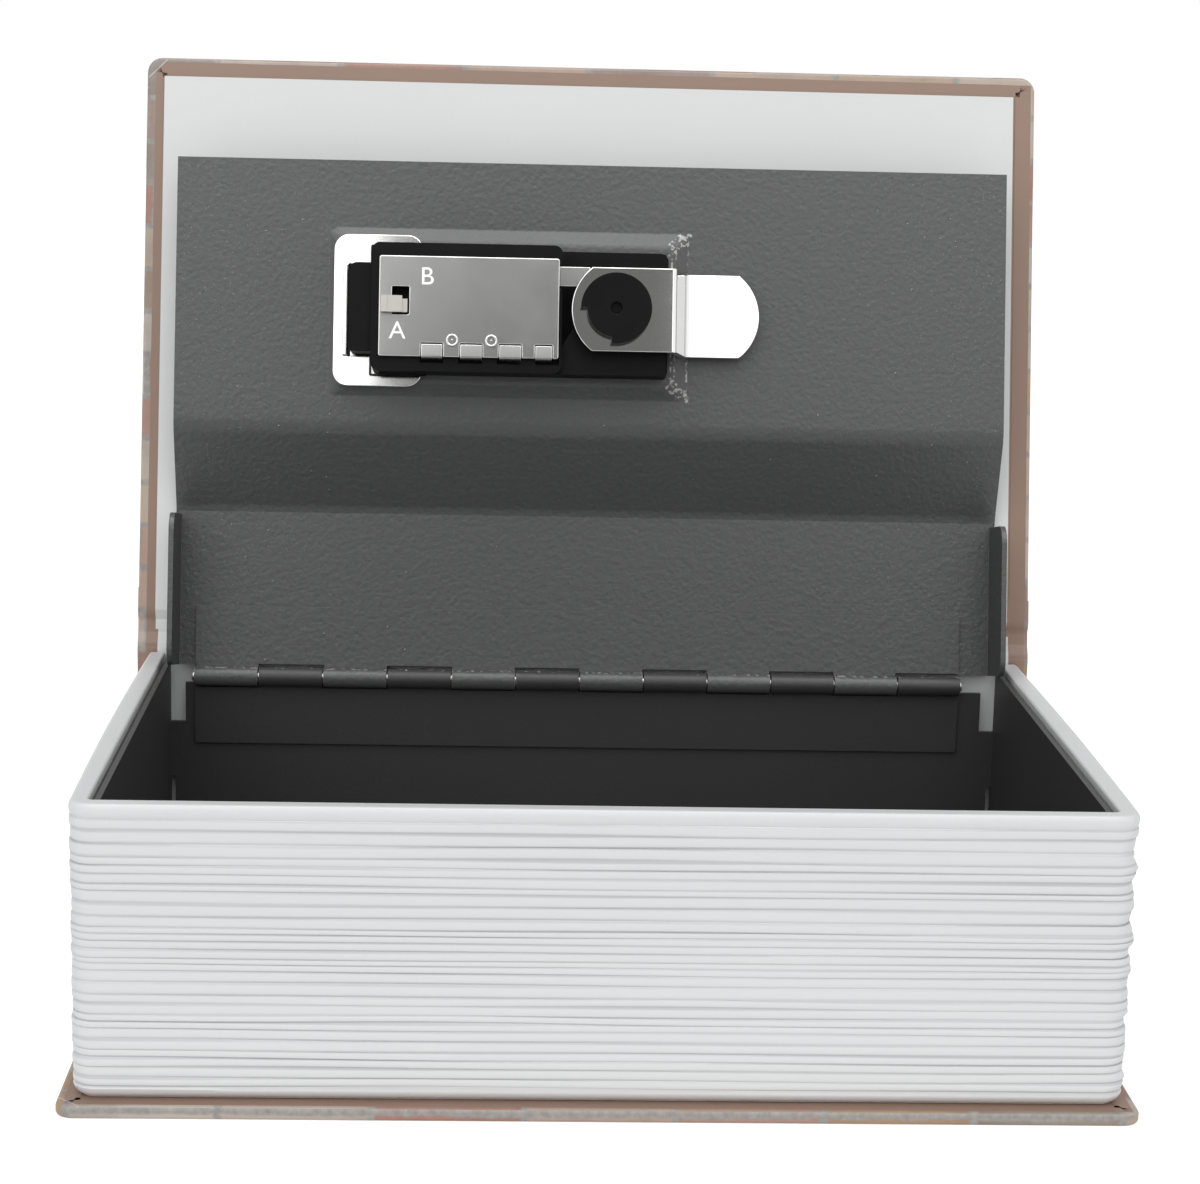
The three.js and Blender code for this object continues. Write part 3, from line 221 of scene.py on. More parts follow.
def pick(piece, kind, rule):
    """Picks the faces, edges or verts of the edited piece for which rule holds."""
    bpy.ops.mesh.select_mode(type={"faces": "FACE", "edges": "EDGE", "verts": "VERT"}[kind])
    mesh = bmesh.from_edit_mesh(piece.data)
    for item in list(mesh.faces) + list(mesh.edges) + list(mesh.verts):
        item.select_set(False)
    for item in getattr(mesh, kind):
        if rule(item):
            item.select_set(True)
    mesh.select_flush_mode()
    bmesh.update_edit_mesh(piece.data)


def done():
    """Closes the edited piece."""
    bpy.ops.object.mode_set(mode="OBJECT")


def middle(edge):
    """Middle of an edge."""
    return (edge.verts[0].co + edge.verts[1].co) / 2


def along(edge):
    """Unit direction of an edge."""
    return (edge.verts[1].co - edge.verts[0].co).normalized()


def runs(edge, axis):
    """Whether an edge runs along an axis."""
    return abs(getattr(along(edge), axis)) > 0.9


def bevel(piece, rule, offset, segments, kind="edges"):
    """Rounds the edges or verts of the edited piece for which rule holds."""
    pick(piece, kind, rule)
    bpy.ops.mesh.bevel(offset=offset, segments=segments, affect="VERTICES" if kind == "verts" else "EDGES")


def primitive(kind, name, **options):
    """Adds a primitive at its size and place and puts that place into its mesh."""
    deselect()
    getattr(bpy.ops.mesh, f"primitive_{kind}_add")(**options)
    piece = bpy.context.object
    piece.name = piece.data.name = name
    bpy.ops.object.transform_apply(location=True, rotation=True, scale=True)
    return piece


def cuboid(name, low, high):
    """A cube primitive between two corners."""
    low, high = Vector(low), Vector(high)
    return primitive("cube", name, size=1, location=(low + high) / 2, scale=high - low)


def modify(piece, kind, **settings):
    """Adds a modifier and applies it."""
    take(piece)
    modifier = piece.modifiers.new(kind, kind)
    for key, value in settings.items():
        setattr(modifier, key, value)
    bpy.ops.object.modifier_apply(modifier=modifier.name)


def soften(piece, width, segments=3, angle=35, shade=35):
    """Rounds and shades the edges of a piece; the rounded faces get material index 1, to be marked for wear and
    painted highlights.
    """
    while len(piece.data.materials) < 2:
        piece.data.materials.append(None)
    modify(
        piece, "BEVEL", width=width, segments=segments, limit_method="ANGLE",
        angle_limit=math.radians(angle), miter_outer="MITER_ARC", harden_normals=False, material=1,
    )
    smooth(piece, shade)


def smooth(piece, angle=35):
    """Smooth shading that keeps sharp edges, with large flat faces left flat."""
    take(piece)
    bpy.ops.object.shade_smooth_by_angle(angle=math.radians(angle))
    modify(piece, "WEIGHTED_NORMAL", keep_sharp=True, weight=80)


def outwards(piece, near=0.002):
    """Merges doubles and turns all faces outwards."""
    edit(piece)
    bpy.ops.mesh.select_all(action="SELECT")
    bpy.ops.mesh.remove_doubles(threshold=near * MM)
    bpy.ops.mesh.normals_make_consistent(inside=False)
    done()


def push(x, y, z):
    """Extrudes what is picked along a vector."""
    bpy.ops.mesh.extrude_region_move(TRANSFORM_OT_translate={"value": (x, y, z)})


def flip(piece):
    """Turns the faces of an open sheet over."""
    edit(piece)
    bpy.ops.mesh.select_all(action="SELECT")
    bpy.ops.mesh.flip_normals()
    done()


def sheet(name, low, high):
    """A plane primitive between two corners of an upright or level rectangle."""
    low, high = Vector(low), Vector(high)
    span = high - low
    upright = abs(span.y) < abs(span.z)
    piece = primitive("plane", name, size=1, rotation=(math.pi / 2 if upright else 0, 0, 0))
    piece.data.transform(Matrix.Translation((low + high) / 2) @ Matrix.Diagonal((span.x, span.y or 1, span.z or 1, 1)))
    return piece


def tablet(name, low, high, radius, segments=6, axis="z"):
    """A cuboid with its edges along one axis rounded, the upright ones unless told."""
    piece = cuboid(name, low, high)
    edit(piece)
    bevel(piece, lambda edge: runs(edge, axis), radius, segments)
    done()
    return piece


def rod(name, radius, start, end, sides=48):
    """A cylinder primitive between two points."""
    start, end = Vector(start), Vector(end)
    turn = (end - start).to_track_quat("Z", "Y").to_euler()
    return primitive(
        "cylinder", name, vertices=sides, radius=radius, depth=(end - start).length,
        location=(start + end) / 2, rotation=turn,
    )


def by_pivot(x, y, level):
    """A place beside the cam's pivot, in millimetres from it, at a level in metres."""
    return PIVOT.x + x * MM, PIVOT.y + y * MM, level


def pivot_rod(name, radius, low, high, sides=48):
    """A cylinder on the cam's pivot between two heights."""
    return rod(name, radius, by_pivot(0, 0, low), by_pivot(0, 0, high), sides)


def combine(piece, operation, *tools):
    """Joins, cuts or keeps a piece with other pieces, which are used up."""
    for tool in tools:
        modify(piece, "BOOLEAN", operation=operation, object=tool, solver="EXACT")
        bpy.data.objects.remove(tool)
    return piece


def copied(piece, name):
    """A copy with its own mesh."""
    made = bpy.data.objects.new(name, piece.data.copy())
    made.data.name = name
    bpy.context.scene.collection.objects.link(made)
    return made


def joined(piece, *others):
    """Joins pieces into the first."""
    for other in (piece, *others):
        worn(other)
    deselect()
    for other in (piece, *others):
        other.select_set(True)
    bpy.context.view_layer.objects.active = piece
    bpy.ops.object.join()
    return piece


def lettering(name, words, height, thickness):
    """Plain raised characters about the origin, facing +Z, as a mesh."""
    deselect()
    bpy.ops.object.text_add()
    made = bpy.context.object
    made.data.body = words
    made.data.size = height / 0.7
    made.data.extrude = thickness / 2
    made.data.align_x, made.data.align_y = "CENTER", "CENTER"
    bpy.ops.object.convert(target="MESH")
    made = bpy.context.object
    made.name = made.data.name = name
    outwards(made)
    return made


def worn(piece, rule=None):
    """Marks the faces that wear first and that take painted highlights: rounded edges, or those for which rule holds.
    """
    mesh = piece.data
    if "wear" in mesh.attributes:
        return
    mesh.attributes.new("wear", "FLOAT", "CORNER")
    values = []
    for polygon in mesh.polygons:
        marked = polygon.material_index == 1 or (rule is not None and rule(polygon))
        values += [1.0 if marked else 0.0] * polygon.loop_total
    mesh.attributes["wear"].data.foreach_set("value", values)
    mesh.polygons.foreach_set("material_index", [0] * len(mesh.polygons))


def traced(node, name, width, segments=2):
    """A copy of a node's solid, merged, with its sharp edges rounded."""
    piece = bpy.data.objects.new(name, frame["nodes"][node].data.copy())
    bpy.context.scene.collection.objects.link(piece)
    piece.data.materials.clear()
    edit(piece)
    bpy.ops.mesh.select_all(action="SELECT")
    bpy.ops.mesh.remove_doubles(threshold=0.004 * MM)
    bpy.ops.mesh.dissolve_limited(angle_limit=math.radians(1))
    done()
    if width > 0:
        soften(piece, width, segments)
    else:
        smooth(piece)
    modify(piece, "TRIANGULATE", min_vertices=5, keep_custom_normals=True)
    return piece


def place(piece, body, slot, look, *nodes):
    """Gives a finished piece its material and body, in the place of its nodes; slot is not used."""
    worn(piece)
    piece.data.materials.clear()
    piece.data.materials.append(looks()[look])
    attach(piece, body)
    if nodes:
        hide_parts(*nodes)
    return piece


# Materials: sums on values are written as expressions

class Value:
    """An output of a shader node that can be used in sums."""

    def __init__(self, look, socket):
        self.look = look
        self.socket = socket

    def sum(self, operation, *terms):
        return self.look.node("ShaderNodeMath", {"operation": operation}, dict(enumerate(terms)))

    def __add__(self, other):
        return self.sum("ADD", self, other)

    def __radd__(self, other):
        return self.sum("ADD", other, self)

    def __sub__(self, other):
        return self.sum("SUBTRACT", self, other)

    def __rsub__(self, other):
        return self.sum("SUBTRACT", other, self)

    def __mul__(self, other):
        return self.sum("MULTIPLY", self, other)

    def __rmul__(self, other):
        return self.sum("MULTIPLY", other, self)

    def __truediv__(self, other):
        return self.sum("DIVIDE", self, other)

    def __gt__(self, other):
        return self.sum("GREATER_THAN", self, other)

    def __abs__(self):
        return self.sum("ABSOLUTE", self)

    def floor(self):
        return self.sum("FLOOR", self)

    def fraction(self):
        return self.sum("FRACT", self)

    def most(self, other):
        return self.sum("MAXIMUM", self, other)

    def ramp(self, low, high):
        """0 below low, 1 above high, smooth between."""
        settings = {"interpolation_type": "SMOOTHSTEP"}
        return self.look.node("ShaderNodeMapRange", settings, {0: self, 1: low, 2: high})

    def part(self, index):
        """X, Y or Z of a vector, as 0, 1 or 2."""
        return self.look.node("ShaderNodeSeparateXYZ", {}, {0: self}, index)


class Look:
    """A procedural material, built round one Principled shader."""

    def __init__(self, name, **constants):
        self.material = bpy.data.materials.new(name)
        self.material.use_nodes = True
        self.tree = self.material.node_tree
        self.shader = self.tree.nodes["Principled BSDF"]
        for socket, value in constants.items():
            self.shader.inputs[socket.replace("_", " ").title().replace("Ior", "IOR")].default_value = value

    def node(self, kind, settings, inputs, output=0):
        """Adds any node: its settings first, then its values and links."""
        made = self.tree.nodes.new(kind)
        for key, value in settings.items():
            if key == "stops":
                self.stops(made.color_ramp, value)
            else:
                setattr(made, key, value)
        for key, value in inputs.items():
            if isinstance(value, Value):
                self.tree.links.new(value.socket, made.inputs[key])
            else:
                made.inputs[key].default_value = value
        return Value(self, made.outputs[output])

    def stops(self, ramp, stops):
        while len(ramp.elements) > 1:
            ramp.elements.remove(ramp.elements[-1])
        for index, (position, colour) in enumerate(stops):
            element = ramp.elements[0] if index == 0 else ramp.elements.new(position)
            element.position = position
            element.color = (*colour, 1)

    def at(self, turned=None):
        """Object coordinates, taken back to the closed place of a swung piece."""
        own = self.node("ShaderNodeTexCoord", {}, {}, "Object")
        if turned is None:
            return own
        shut = turned.inverted()
        return self.node("ShaderNodeMapping", {}, {
            "Vector": own, "Location": shut.to_translation(), "Rotation": shut.to_euler("XYZ"),
        })

    def stretched(self, vector, x, y, z):
        """Coordinates scaled along each axis."""
        return self.node("ShaderNodeMapping", {}, {"Vector": vector, "Scale": (x, y, z)})

    def noise(self, vector, scale, detail=2.0, rough=0.5, distortion=0.0):
        return self.node("ShaderNodeTexNoise", {}, {
            "Vector": vector, "Scale": scale, "Detail": detail, "Roughness": rough, "Distortion": distortion,
        })

    def cells(self, vector, scale, output="Distance", **settings):
        return self.node("ShaderNodeTexVoronoi", settings, {"Vector": vector, "Scale": scale}, output)

    def attribute(self, name):
        return self.node("ShaderNodeAttribute", {"attribute_name": name}, {}, "Fac")

    def uv(self, name):
        return self.node("ShaderNodeUVMap", {"uv_map": name}, {})

    def join(self, x, y, z=0.0):
        return self.node("ShaderNodeCombineXYZ", {}, {0: x, 1: y, 2: z})

    def mix(self, factor, first, second):
        """Mixes two colours, each a colour or a link."""
        pair = {6: first, 7: second}
        pair = {key: value if isinstance(value, Value) else (*value, 1) for key, value in pair.items()}
        return self.node("ShaderNodeMix", {"data_type": "RGBA"}, {0: factor, **pair}, 2)

    def give(self, socket, value):
        self.tree.links.new(value.socket, self.shader.inputs[socket])

    def bump(self, height, distance, strength=1.0):
        """Relief of a height of 0 to 1, distance deep."""
        self.give("Normal", self.node("ShaderNodeBump", {}, {
            "Strength": strength, "Distance": distance, "Height": height,
        }))


def toned(colour, share):
    """A colour made lighter or darker."""
    return [share * part for part in colour]


def moulded_pages(colours):
    look = Look("moulded_pages", roughness=0.4)
    at = look.at()
    mottle = look.noise(at, 55, 3)
    grain = look.noise(at, 2400, 2)
    fibre = look.noise(look.stretched(at, 60, 60, 2600), 1, 2)
    groove = look.attribute("groove")
    # Painted shade: the grooves between page bundles are darkened, unevenly, in the base colour where shade falls in
    # them.
    groove_shade = groove * (0.15 + 0.6 * look.noise(look.stretched(at, 9, 9, 500), 1, 3))
    base = look.mix(mottle * 0.35, colours.pages, toned(colours.pages, 0.97))
    look.give("Base Color", look.mix(groove_shade, base, (0.36, 0.37, 0.39)))
    look.give("Roughness", 0.34 + 0.16 * mottle + 0.1 * groove)
    look.bump(0.5 * grain + 0.5 * fibre, 0.03 * MM, 0.35)
    return look.material


def endpaper(colours):
    look = Look("endpaper", roughness=0.75)
    at = look.at(COVER_OPEN)
    fibre = look.noise(look.stretched(at, 1, 1.8, 1), 1500, 4, 0.6)
    cloud = look.noise(at, 38, 3)
    tone = 0.35 * cloud + 0.3 * fibre
    look.give("Base Color", look.mix(tone, colours.endpaper, toned(colours.endpaper, 0.93)))
    look.give("Roughness", 0.62 + 0.2 * fibre)
    look.bump(fibre, 0.025 * MM, 0.4)
    return look.material


def paint_dots(look, at, scale, size, share):
    """Round dots: 1 on a dot, where a cell's chance is above 1 - share."""
    chance = look.cells(at, scale, "Color").part(0)
    return (1 - look.cells(at, scale).ramp(0.5 * size * scale, size * scale)) * (chance + share > 1)


def hammered_paint(colours):
    look = Look("hammered_grey_paint", roughness=0.4)
    at = look.at(LID_OPEN)
    # 1 near the lid's left and right sides, where light glints, so the painted dimple highlights, shadows and glints
    # are set more densely there.
    sides = abs(at.part(0)).ramp(0.03, 0.085)
    peel = look.cells(at, 950, feature="SMOOTH_F1")
    lumps = look.noise(at, 1500, 2, 0.6)
    cloud = look.noise(at, 30, 2)
    # Painted glints: fine flecks lightened in the base colour; the same flecks are also made more metallic.
    painted_glints = look.noise(at, 3300, 1).ramp(0.68, 0.78) * (0.25 + 0.75 * sides)
    share = 0.2 + 0.45 * sides
    # Painted highlight and shadow: each light dot is the lit side of a dimple in the hammered paint, and the same dots
    # shifted a little are painted dark as the dimples' shadows.
    dots = paint_dots(look, at, 330, 0.16 * MM, share)
    below = look.node("ShaderNodeMapping", {}, {"Vector": at, "Location": (-0.12 * MM, -0.22 * MM, 0)})
    shade = paint_dots(look, below, 330, 0.2 * MM, share)
    tone = look.mix(0.3 + 0.4 * lumps, toned(colours.paint, 0.8), toned(colours.paint, 1.25))
    tone = look.mix(0.6 * shade, tone, DIMPLE_SHADOW)
    tone = look.mix(0.4 * painted_glints, tone, (0.5, 0.5, 0.5))
    tone = look.mix(0.8 * dots, tone, DIMPLE_HIGHLIGHT)
    # Chips of worn paint at the rounded edges, and on the knuckles' tops light flecks painted as a highlight.
    chips_and_glints = look.attribute("wear") * look.noise(at, 1250, 2).ramp(0.5, 0.6)
    look.give("Base Color", look.mix(0.8 * chips_and_glints, tone, BARE_STEEL_AND_GLINT))
    look.give("Roughness", 0.36 + 0.14 * lumps + 0.06 * cloud)
    look.give("Metallic", 0.15 + 0.4 * painted_glints + 0.15 * chips_and_glints)
    look.bump(0.6 * peel + 0.5 * lumps, 0.16 * MM, 0.85)
    return look.material


def tray_paint(colours):
    look = Look("near_black_paint", roughness=0.5)
    at = look.at()
    lumps = look.noise(at, 1700, 2, 0.6)
    cloud = look.noise(at, 26, 3)
    tone = look.mix(0.5 * cloud + 0.3 * lumps, colours.tray, toned(colours.tray, 1.6))
    dots = paint_dots(look, at, 260, 0.14 * MM, 0.12)
    # Chips at the rounded edges, and light flecks painted as a highlight on the tray leaf's knuckle tops.
    chips_and_glints = look.attribute("wear") * look.noise(at, 1100, 2).ramp(0.6, 0.68)
    tone = look.mix(0.5 * dots, tone, (0.16, 0.16, 0.16))
    look.give("Base Color", look.mix(chips_and_glints, tone, (0.4, 0.4, 0.39)))
    look.give("Roughness", 0.44 + 0.14 * lumps)
    look.bump(lumps, 0.06 * MM, 0.5)
    return look.material


def plated(name, colour, roughness, spread, streak):
    """Bright or satin plate: rolled lines along one axis, smears, and rounded edges lightened as a painted edge
    highlight.
    """
    look = Look(name, metallic=1.0, roughness=roughness)
    at = look.at(LID_OPEN)
    smear = look.noise(at, 90, 4, 0.65, 0.4)
    fine = look.noise(look.stretched(at, *streak), 1, 2)
    specks = paint_dots(look, at, 420, 0.1 * MM, 0.1)
    tone = look.mix(0.5 * smear + 0.3 * fine, colour, toned(colour, 0.84))
    # Painted highlight: the rounded edges are lightened in the base colour as bright edge lines.
    edge = look.attribute("wear")
    tone = look.mix(0.7 * edge, tone, (0.88, 0.88, 0.87))
    look.give("Base Color", look.mix(0.35 * specks, tone, (0.1, 0.1, 0.1)))
    look.give("Roughness", (roughness - 0.4 * spread) + spread * smear + 0.5 * spread * fine)
    look.bump(fine, NEAR, 0.25)
    return look.material


def black_plastic(colours):
    look = Look("black_plastic", roughness=0.45, specular_ior_level=0.08)
    at = look.at()
    grain = look.noise(at, 3000, 2)
    flow = look.noise(at, 160, 3)
    tone = look.mix(0.6 * flow, colours.plastic, toned(colours.plastic, 2))
    look.give("Base Color", look.mix(0.6 * look.attribute("wear") * flow, tone, (0.09, 0.09, 0.09)))
    look.give("Roughness", 0.36 + 0.14 * flow)
    look.bump(grain, 0.03 * MM, 0.4)
    return look.material


def figures(colours):
    look = Look("number_paint", roughness=0.5)
    at = look.at()
    patch = look.noise(at, 1800, 3)
    look.give("Base Color", look.mix(patch.ramp(0.35, 0.7), (0.01, 0.01, 0.01), (0.035, 0.035, 0.035)))
    look.give("Roughness", 0.4 + 0.2 * patch)
    look.bump(patch, NEAR, 0.4)
    return look.material


def printed_wall(colours, front):
    """Brick and stone wall print; the paper's border turned in is plain."""
    look = Look("printed_paper_cover" if front else "printed_paper", roughness=0.5)
    spread = look.uv("wrap")
    warp = look.noise(spread, 130, 3, 0.6)
    across = spread.part(0) + 0.0022 * (warp - 0.5)
    course_height, brick_length, mortar = 8.6 * MM, 25 * MM, 0.085
    level = (spread.part(1) + 0.0016 * (warp - 0.5)) / course_height
    course = level.floor()
    shift = 0.5 * course + 0.23 * (course * 1.7).fraction()
    run = across / brick_length + shift
    brick = run.floor()
    key = look.join(brick * 1.37, course * 2.11, 0.5)
    chance = look.node("ShaderNodeTexWhiteNoise", {"noise_dimensions": "3D"}, {"Vector": key}, "Value")
    tone = look.node("ShaderNodeValToRGB", {"stops": [
        (0.0, (0.34, 0.11, 0.075)), (0.16, (0.42, 0.24, 0.2)), (0.3, (0.5, 0.42, 0.36)),
        (0.44, (0.4, 0.22, 0.08)), (0.56, (0.24, 0.225, 0.21)), (0.7, (0.36, 0.15, 0.11)),
        (0.82, (0.48, 0.36, 0.27)), (1.0, (0.56, 0.53, 0.5)),
    ]}, {0: chance})
    edge_up = abs(level.fraction() - 0.5) * 2
    edge_along = abs(run.fraction() - 0.5) * 2
    joints = edge_up.ramp(1 - 2.4 * mortar, 1 - 0.6 * mortar).most(edge_along.ramp(1 - mortar, 1 - 0.25 * mortar))
    pits = look.noise(spread, 700, 5, 0.65)
    stain = look.noise(spread, 60, 4, 0.6)
    face = look.mix(0.5 * pits, tone, (0.5, 0.42, 0.36))
    face = look.mix(stain.ramp(0.45, 0.8) * 0.6, face, (0.2, 0.15, 0.12))
    wall = look.mix(joints, face, look.mix(pits, (0.16, 0.14, 0.13), (0.5, 0.48, 0.45)))
    half, edge = COVER[1].x, COVER[0].y
    left, right = half + spread.part(0), half - spread.part(0)
    if front:
        fore = (2 * SPINE[1].y + COVER[1].z - edge) - spread.part(1)
        widths = (1.65 * MM, 0.75 * MM, 0.85 * MM + 0.0039 * left)
    else:
        fore = spread.part(1) - edge
        widths = (1.2 * MM, 1.2 * MM, 1.1 * MM)
    corner = left + fore - 4.4 * MM
    plain = look.attribute("inside")
    ragged = 0.25 * MM * (warp - 0.5)
    for gap, width in zip((left, right, fore), widths):
        plain = plain * ((gap + ragged) - width).ramp(0, 0.06 * MM)
    plain = plain * corner.ramp(0, 0.06 * MM)
    border = look.mix(0.5 * stain, colours.turn_in, toned(colours.turn_in, 0.85))
    crease = look.attribute("inside") * (1 - abs(corner).ramp(0.05 * MM, 0.22 * MM)) * (1 - left.ramp(3 * MM, 5 * MM))
    fibre = look.noise(look.at(COVER_OPEN if front else None), 1400, 3)
    paper = look.mix(plain, wall, border)
    paper = look.mix(0.7 * crease, paper, (0.75, 0.72, 0.68))
    scuffs = look.attribute("wear") * look.noise(spread, 500, 3).ramp(0.55, 0.75)
    look.give("Base Color", look.mix(0.6 * scuffs, paper, (0.62, 0.58, 0.54)))
    look.give("Roughness", 0.42 + 0.16 * fibre)
    look.bump(0.6 * fibre + 0.4 * pits, 0.03 * MM, 0.35)
    return look.material


def looks():
    """All the finishes, each made once."""
    if not LOOKS:
        colours = bpy.context.scene.book_safe_colours
        chrome = colours.chrome
        rolled, turned = (300, 5200, 5200), (6500, 160, 160)
        LOOKS.update({
            "pages": moulded_pages(colours),
            "endpaper": endpaper(colours),
            "paint": hammered_paint(colours),
            "tray": tray_paint(colours),
            "chrome": plated("bright_chrome", chrome, 0.1, 0.1, rolled),
            "cam": plated("cam_chrome", toned(chrome, 0.9), 0.05, 0.05, rolled),
            "plate": plated("satin_plate", toned(chrome, 0.42), 0.28, 0.14, turned),
            "lever": plated("lever_nickel", (0.5, 0.49, 0.45), 0.36, 0.2, (5200, 300, 300)),
            "steel": plated("drawn_steel", (0.55, 0.54, 0.52), 0.3, 0.2, (90, 7000, 7000)),
            "dial": plated("satin_nickel", (0.62, 0.6, 0.56), 0.26, 0.14, (7000, 400, 400)),
            "marks": plated("stamped_marks", (0.92, 0.92, 0.91), 0.4, 0.1, turned),
            "figures": figures(colours),
            "plastic": black_plastic(colours),
            "print": printed_wall(colours, False),
            "print_cover": printed_wall(colours, True),
        })
    return LOOKS


LOOKS = {}


# The printed wrap lies flat as one sheet: back cover, spine, front cover

def unrolled(leaf, point):
    """Place of a closed point on the flat sheet, measured across and along the wrap."""
    if leaf == "spine":
        return point.x, SPINE[1].y + point.z
    if leaf == "front":
        return point.x, 2 * SPINE[1].y + COVER[1].z - point.y
    return point.x, point.y


def wrap(piece, leaf, low, high, inside):
    """Gives a closed piece the wrap's flat coordinates and marks the faces on the book's inside."""
    mesh = piece.data
    mesh.uv_layers.new(name="wrap")
    mesh.attributes.new("inside", "FLOAT", "CORNER")
    flat, marks = mesh.uv_layers["wrap"], mesh.attributes["inside"]
    for polygon in mesh.polygons:
        normal = polygon.normal
        for index in polygon.loop_indices:
            point = mesh.vertices[mesh.loops[index].vertex_index].co
            depth = abs(point.z - (low.z if leaf == "back" else high.z))
            u, v = unrolled(leaf, point)
            if abs(normal.x) > 0.7:
                u += math.copysign(depth, normal.x)
            if normal.y < -0.7:
                v += depth if leaf == "front" else -depth
            flat.data[index].uv = (u, v)
            marks.data[index].value = 1.0 if normal.z * inside > 0.5 else 0.0


def board(name, low, high, inside, sizes):
    """A wrapped cover board, closed, with its paper turned in round three sides."""
    piece = cuboid(name, low, high)
    edit(piece)
    bevel(piece, lambda edge: runs(edge, "z") and middle(edge).y < 0, sizes.board_corner, 10)
    bevel(piece, lambda edge: abs(along(edge).z) < 0.1, sizes.board_edge, 5)
    pick(piece, "faces", lambda face: face.normal.z * inside > 0.99)
    bpy.ops.mesh.inset(thickness=sizes.turn_in - sizes.board_edge)
    bpy.ops.mesh.inset(thickness=0.05 * MM, depth=-0.06 * MM)
    done()
    smooth(piece, 30)
    wrap(piece, "back" if inside > 0 else "front", Vector(low), Vector(high), inside)
    return piece


def opened(y, z):
    """Where a closed point of the cover's section is once the cover stands open."""
    point = COVER_OPEN @ Vector((0, y * MM, z * MM))
    return point.y / MM, point.z / MM


def ribbon(name, left, right, path, thickness, leaf=None):
    """A strip of paper across the book, drawn out along points of its section."""
    points = [Vector((y * MM, z * MM)) for y, z in path]
    strip = sheet(name, (left * MM, -0.5 * MM, 0), (right * MM, 0.5 * MM, 0))
    for vertex in strip.data.vertices:
        vertex.co.y, vertex.co.z = points[0] if vertex.co.y < 0 else points[1]
    edit(strip)
    pick(strip, "edges", lambda edge: runs(edge, "x") and (middle(edge).yz - points[1]).length < 0.001 * MM)
    for before, after in zip(points[1:], points[2:]):
        push(0, *(after - before))
    bpy.ops.mesh.select_all(action="SELECT")
    bpy.ops.mesh.subdivide(number_cuts=1)
    done()
    mesh = strip.data
    if leaf:
        mesh.uv_layers.new(name="wrap")
        mesh.attributes.new("inside", "FLOAT", "CORNER")
        shut = COVER_OPEN.inverted()
        flat = mesh.uv_layers["wrap"].data
        for loop in mesh.loops:
            point = mesh.vertices[loop.vertex_index].co
            swung = point.z > FOLD.z
            flat[loop.index].uv = unrolled("front", shut @ point) if swung else unrolled("spine", point)
    modify(strip, "SOLIDIFY", thickness=thickness * MM, offset=0)
    smooth(strip, 60)
    return strip


def stepped(*legs):
    """Points evenly spaced along legs, each a start, an end that is left out and a count."""
    return [
        tuple(a + (b - a) * step / count for a, b in zip(start, end))
        for start, end, count in legs for step in range(count)
    ]


def fold_papers(sizes):
    """The paper that bends at the cover's two fold lines, outside and inside."""
    outer_spine = stepped(
        ((58.8, 44), (58.8, 53.6), 3), ((58.8, 53.6), (58.8, 54.9), 4),
        ((58.8, 54.9), opened(57.0, 55.9), 4), (opened(57.0, 55.9), opened(54.7, 55.9), 4),
    )
    outer_cover = stepped(
        (opened(56.6, 55.93), opened(52.4, 55.93), 14), (opened(52.4, 55.93), opened(46, 55.93), 3),
    )
    inner_spine = stepped(
        ((56.14, 2.6), (56.14, 53.2), 12), ((56.14, 53.2), (56.5, 54.5), 4),
        ((56.5, 54.5), opened(57.0, 54.46), 6), (opened(57.0, 54.46), opened(54.9, 54.46), 4),
    )
    sheet_half = sizes.sheet_half / MM
    end = COVER[0].y / MM + sizes.sheet_edge / MM
    endpaper_path = stepped(
        (opened(56.4, 54.4), opened(54.4, 54.4), 6), (opened(54.4, 54.4), opened(52.4, 53.1), 6),
        (opened(52.4, 53.1), opened(end, 53.1), 40),
    ) + [opened(end, 53.1)]
    turn_in_spine = [(y + 0.12, z) if z < 54 else (y + 0.07, z + 0.03) for y, z in inner_spine[10:]]
    turn_in_cover = [opened(y, z) for y, z in (
        (56.4, 54.52), (55.4, 54.52), (54.4, 54.52), (53.4, 53.8), (52.4, 53.52), (50, 53.52), (48, 53.52),
    )]
    papers = [
        ("fold_paper_spine", -90, 90, outer_spine, 0.12, "print_cover", "printed_cover", 0),
        ("fold_paper_cover", -90, 90, outer_cover, 0.1, "print_cover", "printed_cover", 1),
        ("spine_lining_paper", -sheet_half, sheet_half, inner_spine, 0.1, "endpaper", "endpaper", 0),
        ("endpaper_sheet", -sheet_half - 0.5, sheet_half - 0.5, endpaper_path, 0.16, "endpaper", "endpaper", 1),
        ("fold_turn_in_spine", -90, 90, turn_in_spine, 0.08, "print_cover", "printed_cover", 0),
        ("fold_turn_in_cover", -90, 90, turn_in_cover, 0.08, "print_cover", "printed_cover", 1),
    ]
    nodes = {"spine_lining_paper": ["spine_lining"], "endpaper_sheet": ["front_endpaper"]}
    rising = COVER_OPEN.to_3x3() @ Vector((0, -1, 0))
    for name, left, right, path, thickness, look, slot, span in papers:
        paper = ribbon(name, left, right, path, thickness, "front" if look == "print_cover" else None)
        if name == "endpaper_sheet":
            for vertex in paper.data.vertices:
                if vertex.co.z > 0.15:
                    vertex.co += rising * (0.15 - 0.3 * (vertex.co.x / 0.18 + 0.5)) * MM
        if name.startswith("fold_turn_in"):
            mark = paper.data.attributes["inside"]
            mark.data.foreach_set("value", [1.0] * len(mark.data))
        paper.data.materials.clear()
        paper.data.materials.append(looks()[look])
        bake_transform(paper)
        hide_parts(*nodes.get(name, []))


